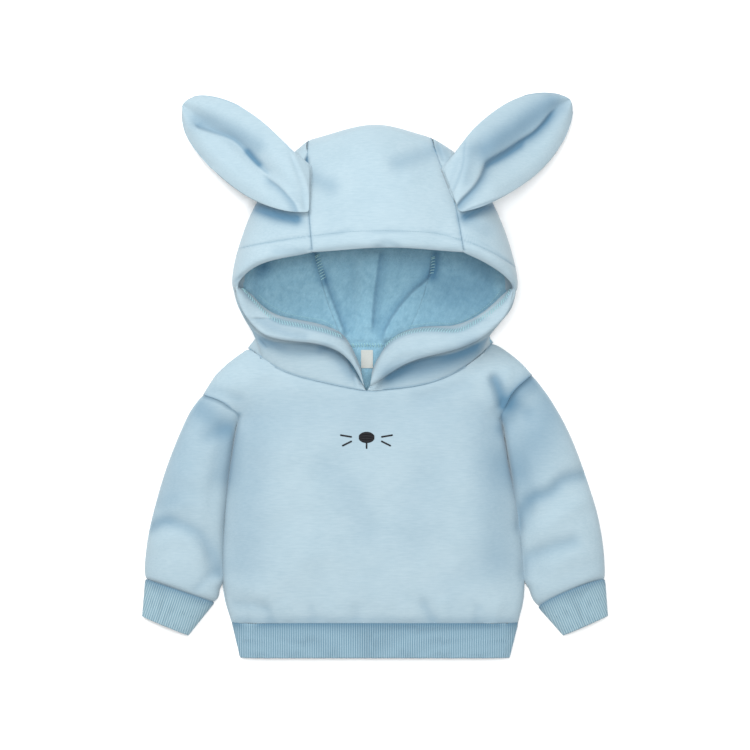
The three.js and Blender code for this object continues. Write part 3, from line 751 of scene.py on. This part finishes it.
# Painted shade alone, given like the folds but with no change of form: under the armholes, over the sleeves
# and the sides and top of the front, and along the lines where the sleeves and the hem band meet the body
BODY_PAINTED_SHADE = ready([
    ([(198, 404), (214, 420), (228, 440), (224, 476)], 13, -3.4),
    ([(184, 420), (172, 490)], 26, -2.2),
    ([(150, 524), (168, 520)], 9, -1.6),
    ([(534, 380), (516, 394), (504, 428)], 9, -4.0),
    ([(552, 400), (536, 440), (516, 466)], 26, -3.6),
    ([(520, 474), (534, 500)], 12, -1.0),
    ([(496, 384), (504, 404)], 9, -2.4),
    ([(252, 420), (244, 560)], 24, -2.0),
    ([(486, 420), (500, 560)], 22, -2.0),
    ([(290, 412), (440, 412)], 26, -1.0),
    ([(239.6, 414), (233, 446), (229, 477), (225, 504), (223, 538), (222.7, 575)], 2.2, -2.4),
    ([(502, 415), (506, 444), (511, 470), (517.6, 495), (521, 520), (523, 540), (525, 586)], 2.2, -2.4),
    ([(236, 619), (514, 619)], 3, -1.6),
])

# The front runs into the corner of the neckline and into the hem band, in millimetres
CORNER_ROW = 380
CORNER_COLUMNS = (272, 266)
CORNER_REACH = (6.4, 2.4)
CORNER_SHIFT = 2.2
CORNER_WAY = Vector((0.5, 0.85, -0.3))
HEM_ROWS = (614, 620)
HEM_SHIFT = 2.0
HEM_WAY = Vector((0, -1, -0.4))
LIFT_HEIGHTS = (4, 12)
BODY_WAVES = ((1.4, 20, 3.1), (0.45, 60, 8.4))


def fold_body(node, mesh, facts, painted_shades):
    """Fold the front and the sleeves, and close the body, the sleeves and the hem band up."""
    for index, vertex in enumerate(mesh.vertices):
        point = vertex.co
        x, y = seen_at(point)
        if node == "front_panel":
            corner = 0
            if y < CORNER_ROW:
                corner = fade(x, *CORNER_COLUMNS) * fade(to_path(NECKLINE, x, y)[0], *CORNER_REACH)
            hem = fade(y, *HEM_ROWS)
            vertex.co += (CORNER_SHIFT * corner * CORNER_WAY + HEM_SHIFT * hem * HEM_WAY) * MM
        if node != "back_panel":
            lift = fade(point.z / MM, *LIFT_HEIGHTS)
            edge = ease(to_path(NECKLINE, x, y)[0] / NECK_HOLD) * ease(facts[2][index] / MM / SEAM_HOLD)
            # Shade is painted in the troughs and where it is listed alone, only on cloth lifted off the table
            rise, painted_shade = folded(BODY_TABLE, x, y)
            painted_shades[index] += (painted_shade + folded(BODY_PAINTED_SHADE, x, y)[1]) * lift
            rise += waves(point, BODY_WAVES)
            vertex.co.z += rise * lift * edge * MM
        for path, way in ((TOUCH_LEFT, 1), (TOUCH_RIGHT, -1)):
            near = 1 - to_path(path, x, y)[0] / TOUCH_REACH if abs(x - path[0][0]) < TOUCH_COLUMNS else 0
            if near > 0:
                side = way if node.startswith("sleeve") else BODY_TOUCH * way
                vertex.co.x += side * TOUCH_SHIFT * ease(near * TOUCH_GROWTH) * fade(y, *TOUCH_ROWS) * MM


# Rows of overlock along the turned hem of the hood
LIP_ROW_LEFT = [
    (242.5, 286), (249, 296), (257.5, 304.5), (267, 314), (280, 321.5), (303, 325.8), (325.4, 331),
    (343, 337),
]
LIP_ROW_RIGHT = [
    (511, 286), (505, 299), (490, 312.5), (473, 323.5), (456, 330.5), (428, 329.5), (405.8, 333),
    (392.4, 339.5), (384.5, 347),
]
HOOD_TABLE = ready(HOOD_FOLDS)
LIP_TABLE = ready(LIP_FOLDS, LIP_LAPS)
INNER_TABLE = ready(INNER_FOLDS, INNER_LAPS)
# Painted shade alone, given like the folds: under the ears, beside the left ear's base, under the lips of the
# hood and along its rows of overlock
HOOD_PAINTED_SHADE = ready([
    ([(256, 207), (277, 214), (296, 218)], 8, -5.0),
    ([(465, 216), (482, 209), (498, 205)], 6.5, -4.4),
    ([(325, 348), (339, 360), (350, 376)], 6, -2.4),
    ([(264, 342), (290, 352), (318, 352)], 6, -2.6),
    ([(306.8, 158), (306.8, 172)], 1.6, -4.0),
    ([(390, 376), (410, 371), (432, 367), (456, 359), (474, 350)], 11, -5.0),
    (LIP_ROW_LEFT, 3.2, -4.5),
    (LIP_ROW_RIGHT, 3.2, -3.5),
])
# Painted shade alone inside the hood: along the seams of its strip, under the brim, over its right side and
# along the back neck
INNER_PAINTED_SHADE = ready([
    ([(314, 252), (318, 266), (323, 282)], 4.5, -5.0),
    ([(436, 254), (436, 266), (433, 277)], 4.5, -5.0),
    ([(246, 274), (262, 266)], 11, -6.5),
    ([(450, 290), (486, 290)], 26, -2.9),
    ([(404, 262), (424, 264)], 14, -1.4),
    ([(470, 262), (500, 276)], 9, -1.6),
    ([(352, 347), (384, 347)], 2.5, -6.0),
])
BRIM_GROOVE_PATH = smoothed(BRIM_GROOVE)
SECOND_GROOVE_PATH = smoothed(SECOND_GROOVE)
# The brim, the hollow and the lip fade in between these heights in millimetres and rows of the picture
BRIM_HEIGHTS, BRIM_ROWS = (30, 55), (318, 294)
HOLLOW_HEIGHTS, HOLLOW_FRONT_ROWS, HOLLOW_BACK_ROWS = (14, 6), (346, 338), (225, 245)
LIP_HEIGHTS, LIP_ROWS = (12, 22), (280, 296)
EDGE_ROW = 228
NO_EDGE = 99.0
# Stitched grooves of the brim: their half width, how far they draw the cloth down, and how much shade is
# painted in them
GROOVE_WIDTH = 1.2
GROOVE_RISE = -1.0
GROOVE_PAINTED_SHADE = 0.22
SECOND_GROOVE_SHARE = 0.6
# Ridges beside a line: height, how far off the line, half width
GROOVE_BANK = (0.6, 4, 3)
EDGE_ROLL = (1.3, 8, 4.5)
EDGE_DIP = (-2.4, 0, 2.6)
LIP_EDGE_DIP = (-1.6, 0, 2.2)
HOOD_WAVES = ((1.3, 22, 5.7), (0.35, 70, 1.4))
HOLLOW_LOFT = 0.9
HOLLOW_WAVE = (30, 6.1)


def ridge(away, shape):
    height, off, width = shape
    return height * bell(away - off, width)


def fold_hood(mesh, painted_shades):
    """Fold the brim that stands over the hollow, the lip in front of it and the cloth on its floor."""
    for index, vertex in enumerate(mesh.vertices):
        point = vertex.co
        x, y = seen_at(point)
        height = point.z / MM
        over = fade(height, *BRIM_HEIGHTS) * fade(y, *BRIM_ROWS)
        under = fade(height, *HOLLOW_HEIGHTS) * fade(y, *HOLLOW_FRONT_ROWS) * fade(y, *HOLLOW_BACK_ROWS)
        lip = fade(height, *LIP_HEIGHTS) * fade(y, *LIP_ROWS)
        edge = to_path(HOOD_EDGE, x, y)[0] if over + lip > 0 and y > EDGE_ROW else NO_EDGE
        # Shade is painted in troughs, in hollows under laps, in the brim's grooves and where it is listed
        # alone
        if over > 0:
            away = to_path(BRIM_GROOVE_PATH, x, y)[0]
            second = to_path(SECOND_GROOVE_PATH, x, y)[0]
            line = bell(away, GROOVE_WIDTH) + SECOND_GROOVE_SHARE * bell(second, GROOVE_WIDTH)
            rise, painted_shade = folded(HOOD_TABLE, x, y)
            rise += GROOVE_RISE * line + ridge(away, GROOVE_BANK)
            rise += ridge(edge, EDGE_ROLL) + ridge(edge, EDGE_DIP)
            rise += waves(point, HOOD_WAVES)
            vertex.co.z += rise * over * MM
            painted_shades[index] += (painted_shade + GROOVE_PAINTED_SHADE * line + folded(HOOD_PAINTED_SHADE, x, y)[1]) * over
        elif lip > 0:
            rise, painted_shade = folded(LIP_TABLE, x, y)
            rise += ridge(edge, LIP_EDGE_DIP)
            vertex.co.z += rise * lip * MM
            painted_shades[index] += (painted_shade + folded(HOOD_PAINTED_SHADE, x, y)[1]) * lip
        if under > 0:
            rise, painted_shade = folded(INNER_TABLE, x, y)
            rise += HOLLOW_LOFT * (1 + unevenness(point, *HOLLOW_WAVE))
            vertex.co.z += max(0, rise) * under * MM
            painted_shades[index] += (painted_shade + folded(INNER_PAINTED_SHADE, x, y)[1]) * under


# Ears: soft folds, and laps along the crease down each, with shade painted in their troughs and under the
# laps
EAR_FOLDS = {
    "left": [
        ([(205, 106), (236, 118), (262, 138), (284, 160)], 8, 1.2),
        ([(206, 148), (232, 172), (262, 192)], 10, 2.2),
        ([(292.5, 153.5), (298, 168), (303, 187), (304.5, 210)], 1.6, 1.0),
        ([(289, 153), (294, 168), (299, 188), (300.5, 208)], 1.4, -0.6),
    ],
    "right": [
        ([(474, 144), (466, 172), (456, 200)], 5, 1.4),
        ([(496, 140), (530, 116), (556, 100)], 11, 1.6),
        ([(496, 188), (530, 170), (556, 140)], 9, 1.8),
        ([(458, 160), (449, 184)], 3, -0.9),
    ],
}
EAR_LAPS = {
    "left": [
        ([(192, 122), (196.3, 128.5), (212, 134), (230.5, 140.5), (240, 148), (249, 159), (256.4, 166.4),
          (264, 173), (270, 178)], -1, 3.2, 8, 2.2, 1.8, 6, 0.42),
        ([(262, 171.5), (273, 180.3), (279.5, 185), (286, 191.4), (291.6, 198), (295.3, 204.3), (297, 211),
          (298, 216)], 1, 1.8, 5, 1.8, 1.4, 6, 0.5),
    ],
    "right": [
        ([(452, 212), (454, 208), (459, 200), (471, 187.5), (478, 177.5), (482, 167.5), (485.5, 161),
          (495.5, 154.4), (507, 147.6), (519.6, 139), (532, 131), (541, 122), (550, 111), (558, 105)],
         1, 3.4, 8, 2.2, 1.8, 7.5, 0.75),
        ([(462, 211), (470, 207), (484, 202), (500, 197), (514, 191), (527, 184)],
         1, 1.2, 4, 1.6, 0.8, 3.5, 0.3),
        ([(468, 136), (466, 150), (464.7, 165), (459, 182), (451, 200)], 1, 1.2, 5, 1.6, 0.5, 3, 0.3),
    ],
}
# Painted shade alone on the ears: in the hollows of their creases and over the upper lobe of the right ear
EAR_PAINTED_SHADE = {
    "left": [
        ([(197, 120), (212, 122), (232, 131), (256, 146)], 9, -3.2),
        ([(248, 152), (259, 164)], 3.8, -5.4),
    ],
    "right": [
        ([(486, 150), (516, 130), (552, 104)], 14, -5.2),
        ([(488, 163), (502, 157), (520, 146)], 4.5, -3.4),
        ([(470, 150), (466, 180)], 6, -1.6),
    ],
}
EAR_TABLES = {side: ready(EAR_FOLDS[side], EAR_LAPS[side]) for side in EAR_FOLDS}
EAR_PAINTED_SHADE_TABLES = {side: ready(EAR_PAINTED_SHADE[side]) for side in EAR_PAINTED_SHADE}
EAR_SEAM_STRENGTH = 0.4
EAR_WAVES = ((0.5, 40, 2.2),)
EAR_TIPS = {"left": (184, 103), "right": (569, 101)}
TIP_REACH, TIP_ROUNDS = 11, 26
CREASE_REACH, CREASE_ROUNDS = 6, 3
# The base of the left ear runs under the crown's edge of the hood strip
EAR_BASE_X = 308.5
EAR_BASE_REACH = (20.7, 2.7)
EAR_BASE_SHIFT = 4.6 * UNIT
EAR_BASE_DROP = 2.0 * MM


def ease_tip(mesh, side):
    """Relax the cloth at the tip, where its rows run together, and along the creases."""
    work = bmesh.new()
    work.from_mesh(mesh)
    near, beside = [], []
    for vertex in work.verts:
        x, y = seen_at(vertex.co)
        if math.hypot(x - EAR_TIPS[side][0], y - EAR_TIPS[side][1]) < TIP_REACH:
            near.append(vertex)
        elif any(to_path(lap[0], x, y)[0] < CREASE_REACH for lap in EAR_TABLES[side][1]):
            beside.append(vertex)
    for some, rounds in ((near, TIP_ROUNDS), (beside, CREASE_ROUNDS)):
        for _ in range(rounds):
            bmesh.ops.smooth_vert(
                work, verts=some, factor=0.5, use_axis_x=True, use_axis_y=True, use_axis_z=True,
            )
    work.to_mesh(mesh)
    work.free()


def fold_ear(node, mesh, facts, painted_shades):
    """Fold the front of an ear, and bring the left ear's base up to the hood."""
    _, side, face = node.split("_")
    far = facts[2]
    for index, vertex in enumerate(mesh.vertices):
        point = vertex.co
        x, y = seen_at(point)
        if face == "front":
            hold = ease(far[index] / MM / SEAM_HOLD)
            # Shade is painted in the creases and hollows and where it is listed alone
            rise, painted_shade = folded(EAR_TABLES[side], x, y)
            rise += waves(point, EAR_WAVES)
            vertex.co.z += rise * hold * MM
            painted_shades[index] += painted_shade + folded(EAR_PAINTED_SHADE_TABLES[side], x, y)[1]
        if side == "left":
            reach = fade(abs(x - EAR_BASE_X), *EAR_BASE_REACH)
            vertex.co.x += EAR_BASE_SHIFT * reach
            vertex.co.z -= EAR_BASE_DROP * reach
    ease_tip(mesh, side)


def finish_piece(name, mesh, slot, *nodes):
    for polygon in mesh.polygons:
        polygon.use_smooth = True
    piece = bpy.data.objects.new(name, mesh)
    bpy.context.collection.objects.link(piece)
    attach(piece, "root")
    if nodes:
        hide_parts(*nodes)
    return piece


HEM_WIDTH = 19
HEM_HEIGHT = 20 * MM
UPWARD = 0.25
DOWNWARD = -0.6
DEEPEST_PAINTED_SHADE = 0.85


def paint_skins(mesh, node):
    """Outside and rims show the jersey's face; the inside is brushed, except where the hem is turned in."""
    inside = INSIDE if node in HOOD + ("back_panel", "front_panel") else OUTSIDE
    for polygon in mesh.polygons:
        high = polygon.center.z > HEM_HEIGHT
        if polygon.material_index >= RIM or high and polygon.normal.z > UPWARD:
            polygon.material_index = OUTSIDE
        elif node == "front_panel" and polygon.normal.z > DOWNWARD:
            polygon.material_index = OUTSIDE
        elif polygon.material_index == INSIDE:
            polygon.material_index = inside
            if node in HOOD and high and to_path(HOOD_EDGE, *seen_at(polygon.center))[0] < HEM_WIDTH:
                polygon.material_index = OUTSIDE


# Each point's painted shade is kept as a point attribute, no deeper than the deepest painted shade allowed
def keep_painted_shade(mesh, painted_shades):
    layer = mesh.attributes.new("painted_shade", "FLOAT", "POINT")
    layer.data.foreach_set("value", [clamp(painted_shade, 0.0, DEEPEST_PAINTED_SHADE) for painted_shade in painted_shades])


CLOTH_LEVELS = {
    "front_panel": 3, "back_panel": 1, "sleeve_left": 2, "sleeve_right": 2,
    "hood_middle": 3, "hood_left": 3, "hood_right": 3,
    "ear_left_front": 3, "ear_left_back": 2, "ear_right_front": 3, "ear_right_back": 2,
}
# Shade painted on the rib knit beside its seams, and how fast it fades away from them in millimetres
RIB_SEAM_PAINTED_SHADE = 0.75
RIB_SEAM_PAINTED_SHADE_WIDTH = 5.0
# Rib-knit pieces, with how far the way across their ribs is turned from the picture's width
RIB_TURNS = {"hem_band": 0.0, "cuff_left": math.radians(-18.7), "cuff_right": math.radians(23.2)}

pieces = {}
for node, levels in CLOTH_LEVELS.items():
    mesh = refined(node, levels)
    facts = skin_facts(mesh)
    if node.startswith("ear"):
        painted_shades = press_seams(mesh, facts, EAR_SEAM_STRENGTH)
        fold_ear(node, mesh, facts, painted_shades)
    else:
        painted_shades = press_seams(mesh, facts)
        if node in HOOD:
            fold_hood(mesh, painted_shades)
        else:
            fold_body(node, mesh, facts, painted_shades)
    keep_painted_shade(mesh, painted_shades)
    paint_skins(mesh, node)
    mesh.materials.append(OUTER)
    mesh.materials.append(INNER)
    pieces[node] = finish_piece(node.capitalize() + "_cloth", mesh, "jersey", node)

for node, turn in RIB_TURNS.items():
    mesh = refined(node, 1, turn)
    seam_facts = skin_facts(mesh)
    # Shade is painted on the rib knit beside its seams
    keep_painted_shade(mesh, [RIB_SEAM_PAINTED_SHADE * math.exp(-far / MM / RIB_SEAM_PAINTED_SHADE_WIDTH) for far in seam_facts[2]])
    for _ in range(4):
        mesh.materials.append(RIB if node == "hem_band" else CUFF_RIB)
    pieces[node] = finish_piece(node.capitalize() + "_cloth", mesh, "ribbing", node)

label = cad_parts["neck_label"]
for slot in label.material_slots:
    slot.link = "OBJECT"
    slot.material = LABEL_TAPE

# Threads, laid on the cloth where they are seen from above; where a seam lies open, on the cloth beside it
STEPS_BESIDE = ((0, 0), (1, 0), (-1, 0), (0, 1), (0, -1), (2, 0), (-2, 0))


def laid(trees, x, y):
    """The first cloth met from the eye towards x, y in the picture: its place and its normal."""
    for step_x, step_y in STEPS_BESIDE:
        way = (at(x + step_x, y + step_y) - EYE).normalized()
        hits = [tree.ray_cast(EYE, way) for tree in trees]
        hits = [hit for hit in hits if hit[0] is not None]
        if hits:
            place, normal, _, far = min(hits, key=lambda hit: hit[3])
            seen = EYE + (at(x, y) - EYE).normalized() * far
            return seen, normal if normal.z > 0 else -normal
    return None


def smooth_places(rows, spacing):
    """Evenly spaced picture places along a smooth line through rows."""
    points = [Vector((row[0], row[1], 0)) for row in rows]
    ends = [points[0] * 2 - points[1], *points, points[-1] * 2 - points[-2]]
    fine = []
    for index in range(1, len(ends) - 2):
        for part in range(20):
            fine.append(between(*ends[index - 1:index + 3], part / 20))
    fine.append(points[-1])
    lengths = [0.0]
    for a, b in zip(fine, fine[1:]):
        lengths.append(lengths[-1] + (b - a).length)
    count = max(2, round(lengths[-1] / spacing))
    places = []
    index = 0
    for step in range(count + 1):
        goal = lengths[-1] * step / count
        while index < len(lengths) - 2 and lengths[index + 1] < goal:
            index += 1
        share = (goal - lengths[index]) / max(1e-9, lengths[index + 1] - lengths[index])
        places.append(fine[index].lerp(fine[index + 1], clamp(share)))
    return places


def rod(work, start, end, radius, sides=6):
    """A short round thread from start to end."""
    way = end - start
    turn = way.to_track_quat("Z", "Y").to_matrix().to_4x4()
    matrix = Matrix.Translation((start + end) / 2) @ turn
    bmesh.ops.create_cone(
        work, cap_ends=True, segments=sides, radius1=radius, radius2=radius, depth=way.length, matrix=matrix,
    )


def thread_piece(name, work, material):
    mesh = bpy.data.meshes.new(name)
    work.to_mesh(mesh)
    work.free()
    mesh.materials.append(material)
    return finish_piece(name, mesh, "jersey")


UNIT_MM = 1.1
LONGEST_STITCH = 4


def running_stitch(name, rows, trees, gap, radius, material, lift, stitch=2.2):
    """A row of separate stitches sunk a little into the cloth, in millimetres."""
    work = bmesh.new()
    places = smooth_places(rows, (stitch + gap) / UNIT_MM)
    for a, b in zip(places, places[1:]):
        share = stitch / (stitch + gap)
        end = a.lerp(b, share)
        met = [laid(trees, place.x, place.y) for place in (a, end)]
        if None in met:
            continue
        (first, first_up), (last, last_up) = met
        if (last - first).length < LONGEST_STITCH * stitch * MM:
            rod(work, first + first_up * lift * MM, last + last_up * lift * MM, radius * MM)
    return thread_piece(name, work, material)


ROW_JUMP = 5 * MM
ROW_SHIFTS = (0, 1, -1, 2, -2, 3, -3, 4, 5, 6, 7)


def laid_row(rows, trees, pitch, start=0):
    """Places along a row, each kept on the same cloth as the one before it, with smoothed normals."""
    places = smooth_places(rows, pitch / UNIT_MM)
    order = list(range(start, len(places))) + list(range(start - 1, -1, -1))
    met = [None] * len(places)
    for index in order:
        place = places[index]
        beside = [met[i] for i in (index - 1, index + 1) if 0 <= i < len(met) and met[i] is not None]
        for shift in ROW_SHIFTS:
            hit = laid(trees, place.x, place.y + shift)
            if hit is not None and (not beside or abs(hit[0].z - beside[0][0].z) < ROW_JUMP):
                met[index] = hit
                break
        else:
            met[index] = beside[0] if beside else hit
    found = [hit for hit in met if hit is not None]
    smooth = []
    for index in range(len(found)):
        near = found[max(0, index - 4):index + 5]
        middle = sum((hit[0] for hit in found[max(0, index - 1):index + 2]), Vector())
        middle /= len(found[max(0, index - 1):index + 2])
        smooth.append((middle, sum((hit[1] for hit in near), Vector()).normalized()))
    return smooth


OVERLOCK_PITCH = 3.0
SHORTEST_LOOP, LONGEST_LOOP = 0.2, 6
LOOP_SINK = 0.2 * MM
LOOP_SHOULDER = 0.55
LOOP_ROUND = 0.25 * MM


def overlock(name, rows, trees, width, radius, lift, slant, start=0):
    """Overlock: slanting loops side by side across a seam, in millimetres."""
    work = bmesh.new()
    met = laid_row(rows, trees, OVERLOCK_PITCH, start)
    half = width / 2 * MM
    for (place, up), (after, _) in zip(met, met[1:]):
        along = after - place
        if not SHORTEST_LOOP * OVERLOCK_PITCH * MM <= along.length <= LONGEST_LOOP * OVERLOCK_PITCH * MM:
            continue
        along.normalize()
        across = up.cross(along).normalized()
        top = place + up * lift * MM
        near = place + across * half - along * slant * half - up * LOOP_SINK
        far = place - across * half + along * slant * half - up * LOOP_SINK
        near_top = top.lerp(near, LOOP_SHOULDER) + up * LOOP_ROUND
        far_top = top.lerp(far, LOOP_SHOULDER) + up * LOOP_ROUND
        for a, b in ((near, near_top), (near_top, top), (top, far_top), (far_top, far)):
            rod(work, a, b, radius * MM, 5)
    return thread_piece(name, work, THREAD)


hood_surface = [tree_of(pieces[node].data) for node in HOOD]
front_surface = [tree_of(pieces["front_panel"].data)]
back_surface = [tree_of(pieces["back_panel"].data), *hood_surface]

# Overlock: row, cloth under it, width, thread radius, lift, slant and the place that it is laid from
NECK_ROW = [(351, 345.5), (366, 345), (384, 345.5)]
STRIP_ROW_LEFT = [(317, 254), (320, 266), (324, 281)]
STRIP_ROW_RIGHT = [(433, 256), (433, 266), (431, 276)]
overlock("Overlock_lip_left", LIP_ROW_LEFT, hood_surface, 4.8, 0.42, 0.8, 0.5, 14)
overlock("Overlock_lip_right", LIP_ROW_RIGHT, hood_surface, 4.8, 0.42, 0.8, -0.5, 20)
overlock("Overlock_hood_left", STRIP_ROW_LEFT, hood_surface, 6.0, 0.5, 1.2, 0.3)
overlock("Overlock_hood_right", STRIP_ROW_RIGHT, hood_surface, 4.6, 0.5, 1.2, 0.3)
overlock("Overlock_neck", NECK_ROW, back_surface, 4.6, 0.5, 1.0, 0.3)

# Plain stitches: row, cloth under it, gap, thread radius, thread and lift
HEM_ROW_LEFT = [(259, 295), (270, 304.5), (286, 313), (306, 317.5), (322, 320), (334, 326.5)]
HEM_ROW_RIGHT = [(501, 290), (490, 303), (474, 315), (455, 323), (430, 323), (408, 326.5)]
running_stitch("Hem_stitch_left", HEM_ROW_LEFT, hood_surface, 0.6, 0.3, THREAD, 0.1)
running_stitch("Hem_stitch_right", HEM_ROW_RIGHT, hood_surface, 0.6, 0.3, THREAD, 0.1)
running_stitch("Brim_top_stitch", BRIM_GROOVE, hood_surface, 0.8, 0.24, PALE_THREAD, 0.0)

# Nose and whiskers, worked in black satin stitch on the front: places in the picture, threads in millimetres
NOSE_X, NOSE_Y = 366.6, 437.4
NOSE_HALF_WIDTH, NOSE_HALF_HEIGHT = 8, 5.6
NOSE_LINE = [(NOSE_X, NOSE_Y + 4), (NOSE_X, NOSE_Y + 11.5)]
SATIN_PITCH = 0.55
SATIN_RADIUS = 0.36
SHORTEST_SATIN = 0.4
WHISKERS = [
    [(340, 435), (352, 437)], [(342, 446), (352, 441)],
    [(393, 435), (381, 437)], [(391, 446), (381, 441)],
]
# Three threads side by side make a line, and the outer two are lower and shorter
LINE_THREADS = ((-0.55, 0.15), (0, 0.35), (0.55, 0.15))
LINE_RADIUS = 0.42
LINE_TRIM = 0.8


def embroidered():
    work = bmesh.new()
    count = round(2 * NOSE_HALF_WIDTH * UNIT_MM / SATIN_PITCH)
    for step in range(count + 1):
        across = -1 + 2 * step / count
        half = NOSE_HALF_HEIGHT * math.sqrt(max(0.0, 1 - across * across))
        if half < SHORTEST_SATIN:
            continue
        x = NOSE_X + across * NOSE_HALF_WIDTH
        ends = []
        for part in (-1, -0.5, 0, 0.5, 1):
            point, up = laid(front_surface, x, NOSE_Y + part * half)
            ends.append(point + up * (0.5 - 0.4 * part * part) * MM)
        for first, last in zip(ends, ends[1:]):
            rod(work, first, last, SATIN_RADIUS * MM)
    for start, end in [NOSE_LINE, *WHISKERS]:
        first, up = laid(front_surface, *start)
        last, _ = laid(front_surface, *end)
        way = (last - first).normalized()
        side = up.cross(way)
        for offset, height in LINE_THREADS:
            trim = way * abs(offset) * LINE_TRIM * MM
            beside = side * offset * MM + up * height * MM
            rod(work, first + beside + trim, last + beside - trim, LINE_RADIUS * MM)
    return thread_piece("Nose_and_whiskers", work, BLACK_THREAD)


embroidered()

# Floor, light and camera

FLOOR_HALF_WIDTH = 4
FLOOR_DROP = 0.5 * MM
floor_mesh = bpy.data.meshes.new("Floor")
floor_work = bmesh.new()
bmesh.ops.create_grid(floor_work, x_segments=1, y_segments=1, size=FLOOR_HALF_WIDTH)
bmesh.ops.translate(floor_work, verts=floor_work.verts, vec=(0, 0, -FLOOR_DROP))
floor_work.to_mesh(floor_mesh)
floor_work.free()
floor = bpy.data.objects.new("Floor", floor_mesh)
bpy.context.collection.objects.link(floor)
floor_material, _, floor_shader = material_nodes("Pale_floor", 0.9)
floor_shader.inputs["Base Color"].default_value = (0.92, 0.92, 0.92, 1)
floor_shader.inputs["Specular IOR Level"].default_value = 0.1
floor_mesh.materials.append(floor_material)


def area_light(name, place, target, size, power):
    light = bpy.data.lights.new(name, "AREA")
    light.shape = "SQUARE"
    light.size = size
    light.energy = power
    lamp = bpy.data.objects.new(name, light)
    lamp.location = place
    lamp.rotation_euler = (Vector(target) - Vector(place)).to_track_quat("-Z", "Y").to_euler()
    bpy.context.collection.objects.link(lamp)


area_light("Key_light", (-0.9, 1.4, 2.0), (0, 0, 0), 1.1, 40)
area_light("Overhead_light", (0.1, 0.2, 3.1), (0, 0, 0), 1.2, 76)

world = bpy.data.worlds.new("Studio")
world.use_nodes = True
world.node_tree.nodes["Background"].inputs["Color"].default_value = (1, 1, 1, 1)
world.node_tree.nodes["Background"].inputs["Strength"].default_value = 0.52
bpy.context.scene.world = world
bpy.context.scene.view_settings.view_transform = "Standard"

SENSOR = 36
camera_data = bpy.data.cameras.new("Camera")
camera_data.sensor_width = SENSOR
camera_data.lens = SENSOR * EYE_HEIGHT / (2 * MIDDLE * UNIT)
camera = bpy.data.objects.new("Camera", camera_data)
camera.location = EYE
bpy.context.collection.objects.link(camera)
bpy.context.scene.camera = camera
